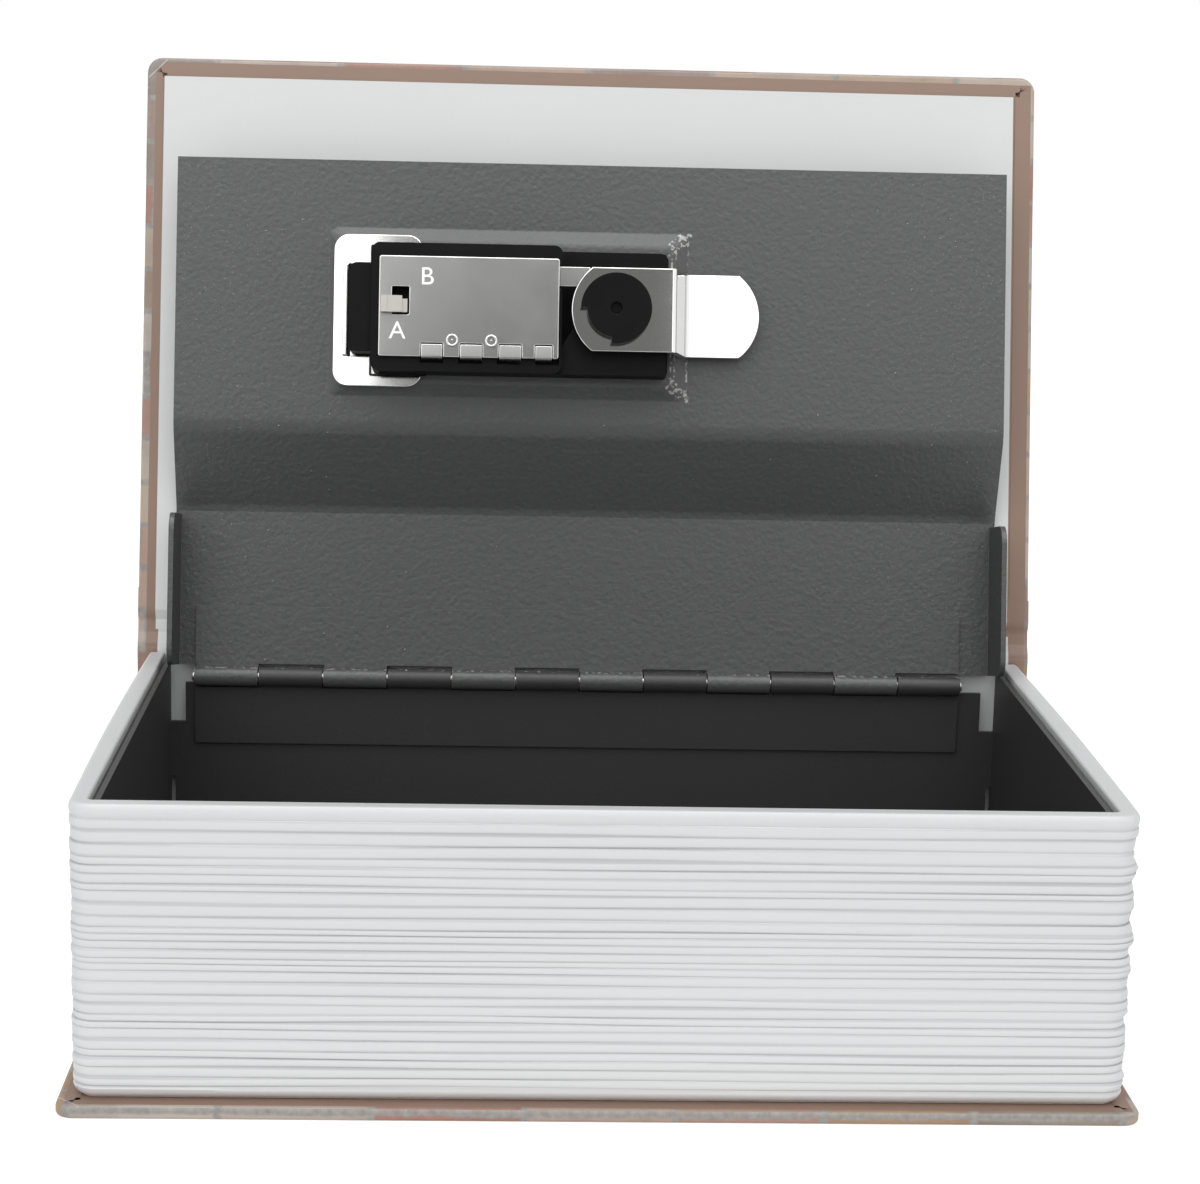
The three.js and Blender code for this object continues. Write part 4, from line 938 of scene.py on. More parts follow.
class BOOKSAFE_OT_case(bpy.types.Operator):
    """Cover boards, spine and folds wrapped in printed paper"""

    bl_idname = "book_safe.case"
    bl_label = "Book case"

    def execute(self, context):
        sizes = context.scene.book_safe_sizes
        back = board("back_cover", BOARD[0], BOARD[1], 1, sizes)
        place(back, "case", "printed_cover", "print", "back_cover_board")
        front = board("front_cover_wrapped", COVER[0], COVER[1], -1, sizes)
        front.data.transform(COVER_OPEN)
        place(front, "front_cover", "printed_cover", "print_cover", "front_cover_board")
        spine = cuboid("spine_wrapped", SPINE[0] - Vector((0, 0, 0.4 * MM)), SPINE[1] + Vector((0, 0, 0.15 * MM)))
        soften(spine, 0.6 * MM, 4)
        wrap(spine, "spine", *SPINE, 0)
        place(spine, "case", "printed_cover", "print", "spine_board")
        low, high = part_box("back_fold_strip")
        fold = cuboid("back_fold_wrapped", (low.x, BOARD[1].y - 0.2 * MM, low.z), high)
        edit(fold)
        bevel(fold, lambda edge: runs(edge, "x") and middle(edge).y > high.y - 0.1 * MM, 0.55 * MM, 6)
        done()
        smooth(fold)
        wrap(fold, "back", Vector((-1, -1, 0)), high, 0)
        place(fold, "case", "printed_cover", "print", "back_fold_strip")
        strip = traced("front_fold_strip", "front_fold_board", 0)
        shut = COVER_OPEN.inverted()
        strip.data.transform(shut)
        wrap(strip, "front", Vector((-1, -1, 0)), COVER[1], 0)
        strip.data.transform(COVER_OPEN)
        place(strip, "cover_fold", "printed_cover", "print_cover", "front_fold_strip")
        fold_papers(sizes)
        return {"FINISHED"}


# Silhouette of the page block's right side, as height and how far it stands out, in millimetres
RIGHT_SIDE = (
    (2.2, 0.1), (5.2, 0.1), (6.7, 0.6), (8.1, 0.0), (9.0, -0.1), (10.0, 0.2), (14.0, 0.1), (17.4, -0.2),
    (18.0, 0.45), (20.0, 0.2), (23.7, -0.1), (25.4, 0.6), (27.2, 0.1), (28.7, -0.2), (29.6, 0.0), (30.5, 0.6),
    (32.5, 0.2), (34.0, -0.3), (35.1, -0.1), (36.5, 0.4), (39.0, 0.0), (41.0, -0.4), (43.3, 0.6), (45.0, -0.5),
    (47.5, -0.1), (49.5, 0.2), (52.7, 0.2),
)


def right_side(level):
    """How far the right side stands out at a height."""
    height = level / MM
    for (z0, out0), (z1, out1) in zip(RIGHT_SIDE, RIGHT_SIDE[1:]):
        if height <= z1:
            share = max(0.0, (height - z0) / (z1 - z0))
            return (out0 + (out1 - out0) * share) * MM
    return RIGHT_SIDE[-1][1] * MM


def block_stations(sizes):
    """Points round the page block's plan with their outward direction and inner point."""
    low, high = BLOCK
    half, front, rear = 0.4 * MM - low.x - 2 * sizes.bow, low.y, high.y
    radius, wall = sizes.corner, sizes.wall
    right = []
    for step in range(61):
        share = step / 60
        x = share * (half - radius)
        right.append((Vector((x, front)), Vector((0, -1)), Vector((x, front + wall))))
    for step in range(1, 9):
        angle = math.radians(90 * step / 9)
        out = Vector((math.sin(angle), -math.cos(angle)))
        centre = Vector((half - radius, front + radius))
        right.append((centre + out * radius, out, centre + out * (radius - wall)))
    for step in range(45):
        share = step / 44
        y = front + radius + share * (rear - front - radius)
        x = half + sizes.bow * math.sin(math.pi * share)
        right.append((Vector((x, y)), Vector((1, 0)), Vector((half - wall, max(y, front + wall)))))
    left = [(Vector((-p.x, p.y)), Vector((-n.x, n.y)), Vector((-q.x, q.y))) for p, n, q in reversed(right[1:])]
    return left + right


def bundle_rows(sizes, chance):
    """Rows over the block's outside: level, offset, groove mask and bundle number."""
    foot, top = BLOCK[0].z, BLOCK[1].z
    rows = []
    for step in range(7):
        angle = math.radians(90 * step / 7)
        inset = min(sizes.foot * (1 - math.sin(angle)), 0.55 * sizes.wall)
        rows.append((foot + sizes.foot * (1 - math.cos(angle)), -inset, 0, -1))
    weights = [chance.choice((0.7, 0.85, 1.0, 1.0, 1.25, 1.5)) for _ in range(sizes.bundles)]
    start, stack = foot + sizes.foot, top - sizes.lip - foot - sizes.foot
    for number, weight in enumerate(weights):
        tall = stack * weight / sum(weights)
        for share, cut in ((0.0, 1), (0.1, 0.55), (0.24, 0.12), (0.5, 0), (0.8, 0.1), (0.93, 0.5)):
            rows.append((start + share * tall, -cut * sizes.groove, 1 if share in (0, 0.1, 0.93) else 0, number))
        start += tall
    rows.append((top - sizes.lip, -sizes.groove, 1, -1))
    for share, out in ((0.12, -0.1), (0.4, 0.1), (0.65, 0.1)):
        rows.append((top - sizes.lip + share * sizes.lip, out * MM, 0, -1))
    return rows


def page_block(sizes):
    """The moulded pages: a grid swept round three sides, its grooves wavering."""
    chance = random.Random(11)
    stations = block_stations(sizes)
    rows = bundle_rows(sizes, chance)
    top, wall = BLOCK[1].z, sizes.wall
    ring = [(level, 0, offset, mask, number) for level, offset, mask, number in rows]
    for step in range(1, 6):
        angle = math.radians(90 * step / 5)
        ring.append((top - RIM_OUTER * (1 - math.sin(angle)), RIM_OUTER * (1 - math.cos(angle)) / wall, 0, 0, -1))
    ring += [(top, 0.6, 0, 0, -1)]
    for step in range(4):
        angle = math.radians(90 * step / 3)
        ring.append((top - RIM_INNER * (1 - math.cos(angle)), 1 - RIM_INNER * (1 - math.sin(angle)) / wall, 0, 0, -1))
    ring += [(top - 0.5 * BLOCK[1].z, 1, 0, 0, -1), (BLOCK[0].z, 1, 0, 0, -1), (BLOCK[0].z, 0.75, 0, 0, -1)]
    ring.append(ring[0])
    across, up = len(stations) - 1, len(ring) - 1
    piece = primitive("grid", "moulded_page_block", x_subdivisions=across, y_subdivisions=up, size=1)
    waves = [[(chance.uniform(0, 6.3), chance.uniform(-1, 1)) for _ in range(4)] for _ in range(sizes.bundles + 1)]
    stagger = [chance.uniform(-0.18, 0.1) for _ in range(sizes.bundles + 1)]
    groove = [0.0] * len(piece.data.vertices)
    for vertex in piece.data.vertices:
        i, j = round((vertex.co.x + 0.5) * across), round((vertex.co.y + 0.5) * up)
        outer, normal, inner = stations[i]
        level, share, offset, mask, number = ring[j]
        if number >= 0:
            trail = i / across * 2 * math.pi
            sway = sum(size * math.sin((order + 1) * trail + phase) for order, (phase, size) in enumerate(waves[number]))
            level += 0.09 * MM * sway
            deep = 0.75 + 0.25 * math.sin(2.3 * trail + waves[number][0][0])
            offset = offset * deep + stagger[number] * MM
            groove[vertex.index] = mask * deep
        side = max(0.0, normal.x) ** 2
        offset += side * right_side(level)
        point = outer + normal * offset
        point = point.lerp(inner, share)
        vertex.co = (point.x, point.y, level)
    mask = piece.data.attributes.new("groove", "FLOAT", "POINT")
    mask.data.foreach_set("value", groove)
    edit(piece)
    bpy.ops.mesh.select_all(action="SELECT")
    bpy.ops.mesh.remove_doubles(threshold=0.001 * MM)
    pick(piece, "edges", lambda edge: edge.is_boundary)
    bpy.ops.mesh.fill()
    bpy.ops.mesh.select_all(action="SELECT")
    bpy.ops.mesh.normals_make_consistent(inside=False)
    done()
    smooth(piece, 50)
    return piece


class BOOKSAFE_OT_pages(bpy.types.Operator):
    """The white moulded block that stands for the book's pages"""

    bl_idname = "book_safe.pages"
    bl_label = "Page block"

    def execute(self, context):
        place(page_block(context.scene.book_safe_sizes), "case", "page_plastic", "pages", "page_block")
        return {"FINISHED"}


def folded_tray(sizes):
    """The tray: a bent sheet with notches and relief slots at its rear corners, and a lip turned in at its front."""
    low, high = TRAY
    steel, half = sizes.steel, TRAY[1].x
    tray = cuboid("folded_tray", low, high)
    edit(tray)
    pick(tray, "faces", lambda face: face.normal.z > 0.9)
    bpy.ops.mesh.delete(type="FACE")
    top = LEAF_Z - sizes.tray_lip
    bevel(tray, lambda edge: abs(along(edge).z) < 0.1 and middle(edge).z < low.z + NEAR, sizes.bend, 4)
    done()
    if sum(polygon.normal.z * polygon.area for polygon in tray.data.polygons if polygon.center.z < low.z + MM) > 0:
        flip(tray)
    modify(tray, "SOLIDIFY", thickness=steel, offset=-1, use_even_offset=True)
    rear, inner = high.y, half - steel
    for y, level in ((low.y, top - 0.9 * MM), (rear, LEAF_Z - KNUCKLE)):
        combine(tray, "DIFFERENCE", cuboid("opening", (-inner, y - 2 * MM, level), (inner, y + 2 * MM, high.z + MM)))
    foot = LEAF_Z - KNUCKLE - sizes.notch_depth
    for side in (-1, 1):
        def across(near, far):
            return sorted((side * near, side * far))
        x0, x1 = across(inner - sizes.notch, inner)
        notch = cuboid("notch", (x0, rear - 3 * MM, foot), (x1, rear + MM, high.z + MM))
        x0, x1 = across(inner - sizes.slot, inner)
        slot = tablet("slot", (x0, rear - 3 * MM, 6 * MM), (x1, rear + MM, 28 * MM), 0.4 * sizes.slot, axis="y")
        combine(tray, "DIFFERENCE", notch, slot)
    soften(tray, 0.18 * MM, 2)
    inset = half - 1.1 * steel
    lip = cuboid("front_return", (-inset, low.y + NEAR, top - steel), (inset, low.y + sizes.tray_flange, top))
    edit(lip)
    bevel(lip, lambda edge: middle(edge).y < low.y + MM and middle(edge).z > top - NEAR, 0.95 * MM, 5)
    done()
    soften(lip, 0.18 * MM, 2)
    modify(tray, "TRIANGULATE", min_vertices=5, keep_custom_normals=True)
    return joined(tray, lip)


def hinge_leaf(sizes):
    """A hinge leaf about its pin, hanging down: one knuckle's length is modelled, then repeated."""
    pitch = HINGE_LENGTH / sizes.knuckles
    middle_radius = KNUCKLE - sizes.leaf / 2
    gap = 0.13 * MM
    leaf = sheet("leaf", (0, middle_radius, -sizes.leaf_depth), (2 * pitch, middle_radius, -KNUCKLE - 0.6 * MM))
    edit(leaf)
    for place_x in (pitch + gap, 2 * pitch - gap):
        pick(leaf, "faces", lambda face: True)
        bpy.ops.mesh.bisect(plane_co=(place_x, 0, 0), plane_no=(1, 0, 0))
    def rolled(edge):
        at = middle(edge)
        return at.z > -KNUCKLE - 0.7 * MM and pitch + gap < at.x < 2 * pitch - gap and runs(edge, "x")
    pick(leaf, "edges", rolled)
    push(0, 0, KNUCKLE + 0.6 * MM)
    bpy.ops.mesh.spin(steps=22, angle=math.radians(305), center=(0, 0, 0), axis=(-1, 0, 0))
    done()
    modify(
        leaf, "ARRAY", count=sizes.knuckles // 2, use_relative_offset=False, use_constant_offset=True,
        constant_offset_displace=(2 * pitch, 0, 0), use_merge_vertices=True, merge_threshold=NEAR,
    )
    outwards(leaf, 0.005)
    modify(leaf, "SOLIDIFY", thickness=sizes.leaf, offset=0, use_even_offset=True)
    leaf.data.transform(Matrix.Translation((-HINGE_LENGTH / 2, 0, 0)))
    soften(leaf, 0.09 * MM, 2, 50, shade=40)
    for polygon in leaf.data.polygons:
        if polygon.center.z < -KNUCKLE - 0.5 * MM:
            polygon.material_index = 0
    return leaf


def ridge(leaf):
    """Marks the top of an open leaf's knuckles for light flecks, a painted highlight along the upper ridge."""
    for polygon in leaf.data.polygons:
        if polygon.normal.z > 0.9 and abs(polygon.center.y - HINGE.y) < KNUCKLE and polygon.center.z > HINGE.z:
            polygon.material_index = 1


def folded_lid(sizes):
    """The closed lid: a joggled sheet with two side flanges and a pressed pad for the lock."""
    low, high = LID
    steel, half = sizes.steel, high.x
    fold_rear = high.y - sizes.rear_panel
    fold_front = fold_rear - sizes.joggle
    sunk = high.z - sizes.joggle_drop
    lid = sheet("folded_lid", (-half, low.y, sunk), (half, fold_front, sunk))
    edit(lid)
    pick(lid, "edges", lambda edge: middle(edge).y > fold_front - NEAR)
    push(0, sizes.joggle, sizes.joggle_drop)
    push(0, sizes.rear_panel, 0)
    bevel(lid, lambda edge: runs(edge, "x") and fold_front - MM < middle(edge).y < fold_rear + MM, 1.6 * MM, 5)
    for side in (-1, 1):
        def outer(edge):
            return middle(edge).x * side > half - MM and middle(edge).y > fold_rear + 3 * MM
        pick(lid, "edges", lambda edge: outer(edge) and runs(edge, "y"))
        push(0, 0, -(sizes.flange + steel))
        bevel(lid, lambda edge: outer(edge) and abs(middle(edge).z - high.z) < NEAR, 1.2 * MM, 4)
        bevel(lid, lambda vertex: vertex.co.z < high.z - sizes.flange, sizes.flange_corner, 8, "verts")
    for turned, level in (((1, 0, 0), PAD[0].x), ((1, 0, 0), PAD[1].x), ((0, 1, 0), PAD[0].y), ((0, 1, 0), PAD[1].y)):
        pick(lid, "faces", lambda face: abs(face.calc_center_median().z - sunk) < NEAR)
        bpy.ops.mesh.bisect(plane_co=Vector(turned) * level, plane_no=turned)
    middle_pad = (PAD[0] + PAD[1]) / 2 + Vector((0, 0, sunk))
    pick(lid, "faces", lambda face: (face.calc_center_median() - middle_pad).length < MM)
    bpy.ops.mesh.inset(thickness=sizes.pad_bevel, depth=-sizes.pad_depth)
    def pad_edge(edge):
        at = middle(edge)
        inside = all(PAD[0][i] - NEAR < at[i] < PAD[1][i] + NEAR for i in (0, 1))
        return inside and at.z < sunk + NEAR
    bevel(lid, lambda edge: pad_edge(edge) and abs(along(edge).z) > 0.05, 1.1 * MM, 4)
    bevel(lid, lambda edge: pad_edge(edge) and abs(along(edge).z) < 0.02, 0.45 * MM, 3)
    raised = sunk - sizes.pad_depth
    pick(lid, "faces", lambda face: abs(face.calc_center_median().z - raised) < NEAR and face.calc_area() > 1e-4)
    bpy.ops.mesh.inset(thickness=0.8 * MM)
    bpy.ops.mesh.delete(type="FACE")
    done()
    if max(lid.data.polygons, key=lambda polygon: polygon.area).normal.z < 0:
        flip(lid)
    modify(lid, "SOLIDIFY", thickness=steel, offset=-1, use_even_offset=True)
    for polygon in lid.data.polygons:
        at = polygon.center
        if PAD[1].x - 4 * MM < at.x < PAD[1].x + MM and abs(at.y - PIVOT.y) < 17 * MM and polygon.area < 1e-5:
            polygon.material_index = 1
    soften(lid, 0.2 * MM, 2, 40, shade=40)
    return lid


class BOOKSAFE_OT_tray(bpy.types.Operator):
    """The folded steel tray"""

    bl_idname = "book_safe.tray"
    bl_label = "Steel tray"

    def execute(self, context):
        place(folded_tray(context.scene.book_safe_sizes), "case", "tray_paint", "tray", "cash_tray")
        return {"FINISHED"}


class BOOKSAFE_OT_hinge(bpy.types.Operator):
    """Both leaves of the piano hinge and their pin"""

    bl_idname = "book_safe.hinge"
    bl_label = "Piano hinge"

    def execute(self, context):
        sizes = context.scene.book_safe_sizes
        to_pin = Matrix.Translation(HINGE)
        lower = hinge_leaf(sizes)
        upper = copied(lower, "hinge_leaf_lid")
        lower.name = lower.data.name = "hinge_leaf_tray"
        lower.data.transform(to_pin)
        ridge(lower)
        place(lower, "case", "tray_paint", "tray", "tray_hinge_leaf")
        turn = Matrix.Rotation(math.pi, 4, "Z") @ Matrix.Rotation(math.pi / 2, 4, "X")
        upper.data.transform(LID_OPEN @ to_pin @ turn)
        ridge(upper)
        place(upper, "lid", "lid_paint", "paint", "lid_hinge_leaf")
        reach = Vector((HINGE_LENGTH / 2 + 0.4 * MM, 0, 0))
        pin = rod("hinge_pin_rod", 1 * MM, HINGE - reach, HINGE + reach, 32)
        soften(pin, 0.3 * MM, 3)
        place(pin, "case", "pin_steel", "steel", "hinge_pin")
        return {"FINISHED"}


class BOOKSAFE_OT_lid(bpy.types.Operator):
    """The steel lid with its raised pad"""

    bl_idname = "book_safe.lid"
    bl_label = "Steel lid"

    def execute(self, context):
        lid = folded_lid(context.scene.book_safe_sizes)
        lid.data.transform(LID_OPEN)
        place(lid, "lid", "lid_paint", "paint", "lid_panel")
        return {"FINISHED"}


# The lock, modelled at its place in the closed lid

def lattice(piece, lines):
    """Cuts all of a flat sheet along lines, each an axis and a place on it."""
    for axis, level in lines:
        edit(piece)
        bpy.ops.mesh.select_all(action="SELECT")
        across = Vector([1.0 if i == axis else 0.0 for i in range(3)])
        bpy.ops.mesh.bisect(plane_co=across * level, plane_no=across)
        done()


def drop(piece, *holes):
    """Takes out the faces of a sheet that lie in rectangular holes."""
    def within(face):
        at = face.calc_center_median()
        return any(x0 < at.x < x1 and y0 < at.y < y1 for x0, x1, y0, y1 in holes)
    edit(piece)
    pick(piece, "faces", within)
    bpy.ops.mesh.delete(type="FACE")
    done()


def rounded(piece, radius, corners, segments=6):
    """Rounds the corners of a sheet that lie at the places given."""
    edit(piece)
    def at_corner(vertex):
        return any((vertex.co.xy - Vector(corner)).length < 0.05 * MM for corner in corners)
    bevel(piece, at_corner, radius, segments, "verts")
    done()


def facing(piece, down):
    """Turns an open sheet so that its largest face looks down, or up."""
    largest = max(piece.data.polygons, key=lambda polygon: polygon.area)
    if (largest.normal.z < 0) != down:
        flip(piece)


def cover_plate(sizes):
    """Satin cover: window, four sprung tabs, two dimples, low ear."""
    low = Vector((PLATE[0].x, PIVOT.y - sizes.plate_width / 2, PLATE_FACE))
    high = Vector((PLATE_RIGHT, PIVOT.y + sizes.plate_width / 2, PLATE_FACE + sizes.plate))
    plate = sheet("lock_cover_plate_satin", low, (high.x, high.y, low.z))
    rounded(plate, 0.5 * MM, [(x, y) for x in (low.x, high.x) for y in (low.y, high.y)], 4)
    window = (LEVER.x - 1.65 * MM, LEVER.x + 1.65 * MM, PIVOT.y - 3.8 * MM, PIVOT.y + 1.6 * MM)
    beds = [
        (low.x + centre - width / 2, low.x + centre + width / 2, high.y - TAB_DEPTH, high.y + MM)
        for centre, width in TABS
    ]
    sides = [(0, x) for hole in (window, *beds) for x in hole[:2]]
    lattice(plate, sides + [(1, y) for y in (*window[2:], high.y - TAB_DEPTH)])
    drop(plate, window, *beds)
    facing(plate, True)
    modify(plate, "SOLIDIFY", thickness=sizes.plate, offset=-1)
    soften(plate, 0.2 * MM, 3, 50, shade=40)
    extras = []
    for centre, width in TABS:
        half = width / 2 - 0.12 * MM
        tab = sheet("tab", (-half, 0.2 * MM - TAB_DEPTH, 0), (half, 0.35 * MM, 0))
        edit(tab)
        pick(tab, "verts", lambda vertex: vertex.co.y > 0)
        bpy.ops.transform.translate(value=(0, 0, -0.3 * MM))
        pick(tab, "edges", lambda edge: middle(edge).y > 0)
        push(0, 0.3 * MM, 2.4 * MM)
        bevel(tab, lambda edge: abs(middle(edge).y - 0.35 * MM) < NEAR and runs(edge, "x"), 0.6 * MM, 4)
        done()
        facing(tab, True)
        modify(tab, "SOLIDIFY", thickness=0.6 * MM, offset=-1, use_even_offset=True)
        soften(tab, 0.1 * MM, 2, 50, shade=40)
        tab.data.transform(Matrix.Translation((low.x + centre, high.y, low.z + 0.12 * MM)))
        extras.append(tab)
    for index in range(2):
        at = Vector((low.x + (14.3 + 7.6 * index) * MM, high.y - 3.3 * MM, low.z))
        ring = primitive(
            "torus", "ring", location=at, major_radius=1.0 * MM, minor_radius=0.24 * MM,
            major_segments=36, minor_segments=12,
        )
        dome = primitive(
            "uv_sphere", "dome", location=at + Vector((0, 0, 0.32 * MM)), radius=0.42 * MM,
            segments=24, ring_count=12,
        )
        for polygon in ring.data.polygons:
            polygon.material_index = 1
        for piece in (ring, dome):
            smooth(piece, 60)
        extras += [ring, dome]
    level = high.z + 0.8 * MM
    ear = sheet("ear", (high.x - 2 * MM, PIVOT.y - 8.4 * MM, level), (high.x + 6 * MM, PIVOT.y - 4.6 * MM, level))
    modify(ear, "SOLIDIFY", thickness=sizes.plate, offset=0)
    soften(ear, 0.15 * MM, 2)
    return joined(plate, *extras, ear)


def cam(sizes):
    """The cranked cam: a strip bent twice, both ends cut to an arc."""
    low, high = lid_box("cam_plate")
    steel = sizes.cam
    near, far = PIVOT.x + 10.4 * MM, PIVOT.x + 13.4 * MM
    piece = cuboid("cam_chromed", low, (near, high.y, low.z + steel))
    edit(piece)
    pick(piece, "faces", lambda face: face.normal.x > 0.9)
    push(far - near, 0, high.z - low.z - steel)
    push(high.x - far, 0, 0)
    pick(piece, "verts", lambda vertex: abs(vertex.co.x - near) < NEAR and vertex.co.z < low.z + 0.1 * MM)
    bpy.ops.transform.translate(value=(1.35 * MM, 0, 0))
    pick(piece, "verts", lambda vertex: abs(vertex.co.x - far) < NEAR and vertex.co.z < high.z - 0.5 * steel)
    bpy.ops.transform.translate(value=(0.9 * MM, 0, 0))
    bevel(piece, lambda edge: runs(edge, "y") and near - MM < middle(edge).x < far + 1.5 * MM, CAM_BEND, 5)
    done()
    left, right, bottom, top = low.x + CAM_END, high.x - CAM_END, low.z - MM, high.z + MM
    blank = cuboid("blank", (left, PIVOT.y - CAM_END, bottom), (right, PIVOT.y + CAM_END, top))
    ends = [rod("end", CAM_END, (x, PIVOT.y, bottom), (x, PIVOT.y, top), 96) for x in (left, right)]
    combine(blank, "UNION", *ends)
    combine(piece, "INTERSECT", blank)
    combine(piece, "DIFFERENCE", pivot_rod("bore", 3.15 * MM, low.z - MM, low.z + 3 * MM))
    soften(piece, 0.2 * MM, 3, 40, shade=40)
    return piece


def reset_lever(sizes):
    """Stem in the window and a finger tab folded over the plate's edge."""
    low, high = lid_box("reset_lever")
    x, y = LEVER.x, PIVOT.y
    face = PLATE_FACE - 0.3 * MM
    wide, deep, rise = 1.35 * MM, 1.3 * MM, 0.2 * MM
    stem = cuboid("reset_lever_plated", (x - wide, y - deep, face - 2 * rise), (x + wide, y + deep, high.z))
    tab = cuboid("tab", low, (x + 0.35 * MM, y + deep, face))
    rib = cuboid(
        "rib", (low.x + 0.5 * MM, low.y - NEAR, low.z - rise), (low.x + 1.2 * MM, y + deep + NEAR, low.z + rise),
    )
    combine(stem, "UNION", tab, rib)
    soften(stem, 0.12 * MM, 3)
    return stem


def faceplate(sizes):
    """The lock's face outside the lid: a sunk field, a window for each dial and the knob's bore."""
    low, high = lid_box("lock_faceplate")
    plate = tablet("lock_face_chromed", low, high, FACE_CORNER, 8)
    edit(plate)
    pick(plate, "faces", lambda face: face.normal.z > 0.9)
    bpy.ops.mesh.inset(thickness=0.5 * MM, depth=0)
    def rim(edge):
        meeting = edge.link_faces
        return middle(edge).z > high.z - NEAR and len(meeting) == 2 and min(face.normal.z for face in meeting) < 0.1
    bevel(plate, rim, 0.45 * MM, 4)
    pick(plate, "faces", lambda face: face.normal.z > 0.9 and face.calc_area() > 3e-4)
    bpy.ops.mesh.inset(thickness=1.2 * MM)
    bpy.ops.mesh.inset(thickness=0.3 * MM, depth=-0.25 * MM)
    done()
    for index in (1, 2, 3):
        dial_low, dial_high = lid_box(f"number_dial_{index}")
        centre = (dial_low + dial_high) / 2
        half = Vector(((dial_high.x - dial_low.x) / 2 + 0.3 * MM, 0, 0))
        combine(plate, "DIFFERENCE", rod("dial_room", DIAL_ROOM, centre - half, centre + half, 72))
    combine(plate, "DIFFERENCE", pivot_rod("bore", 3.3 * MM, low.z - MM, high.z + MM))
    soften(plate, 0.15 * MM, 2, 50, shade=40)
    return plate


def dial():
    """A number wheel about the origin along X: ten flats with a flute between each two."""
    low, high = lid_box("number_dial_1")
    width = high.x - low.x
    wheel = primitive(
        "cylinder", "dial", vertices=10, radius=DIAL_FLAT / math.cos(math.pi / 10), depth=width,
        rotation=(0, math.pi / 2, 0),
    )
    half_step = Matrix.Rotation(math.radians(18), 4, "X")
    wheel.data.transform(half_step)
    if not any(polygon.normal.z > 0.999 for polygon in wheel.data.polygons):
        wheel.data.transform(half_step)
    edit(wheel)
    bevel(wheel, lambda edge: runs(edge, "x"), 0.5 * MM, 1)
    pick(wheel, "faces", lambda face: abs(face.normal.x) < 0.1 and face.calc_area() < 0.3 * width * 3.8 * MM)
    bpy.ops.mesh.inset(thickness=0.12 * MM, use_individual=True)
    bpy.ops.mesh.extrude_region_shrink_fatten(TRANSFORM_OT_shrink_fatten={"value": -0.45 * MM})
    done()
    combine(wheel, "DIFFERENCE", rod("bore", 1.15 * MM, (-width, 0, 0), (width, 0, 0), 32))
    soften(wheel, 0.08 * MM, 2, 30, shade=30)
    return wheel


def dial_numbers():
    """The plain numbers 0 to 9 round a wheel."""
    made = []
    for number in range(10):
        figure = lettering("dial_numbers", str(number), 1.9 * MM, 0.06 * MM)
        figure.data.transform(Matrix.Rotation(math.radians(36 * number), 4, "X") @ Matrix.Translation((0, 0, DIAL_FLAT + NEAR)))
        made.append(figure)
    return joined(*made)


def turn_knob(sizes):
    """The knob outside the lid: a skirt and a finger bar with a pointer groove."""
    low, high = lid_box("turn_knob")
    knob = pivot_rod("turn_knob_chromed", KNOB_RADIUS, low.z, low.z + KNOB_SKIRT, 96)
    edit(knob)
    bevel(knob, lambda edge: middle(edge).z > low.z + KNOB_SKIRT - NEAR, 0.7 * MM, 5)
    done()
    bar = tablet("bar", by_pivot(-7, -2, low.z + KNOB_SKIRT / 2), by_pivot(7, 2, high.z), 1.6 * MM, 8)
    edit(bar)
    bevel(bar, lambda edge: middle(edge).z > high.z - NEAR, 0.5 * MM, 4)
    done()
    groove = cuboid("groove", by_pivot(1.5, -0.3, high.z - 0.35 * MM), by_pivot(6, 0.3, high.z + MM))
    combine(knob, "UNION", bar)
    combine(knob, "DIFFERENCE", groove)
    soften(knob, 0.1 * MM, 2, 50, shade=40)
    return knob


def round_bar(node, name, radius, axis, flat):
    """A turned bar along a node's box, chamfered, with a flat filed on it where asked."""
    low, high = lid_box(node)
    centre = (low + high) / 2
    half = Vector([(high[i] - low[i]) / 2 if i == axis else 0 for i in range(3)])
    bar = rod(name, radius, centre - half, centre + half, 48)
    if flat:
        tool = cuboid(
            "flat", (centre.x - radius, centre.y + flat, low.z - MM),
            (centre.x + radius, centre.y + 2 * radius, high.z - 5 * MM),
        )
        combine(bar, "DIFFERENCE", tool)
    soften(bar, 0.15 * MM, 2)
    return bar


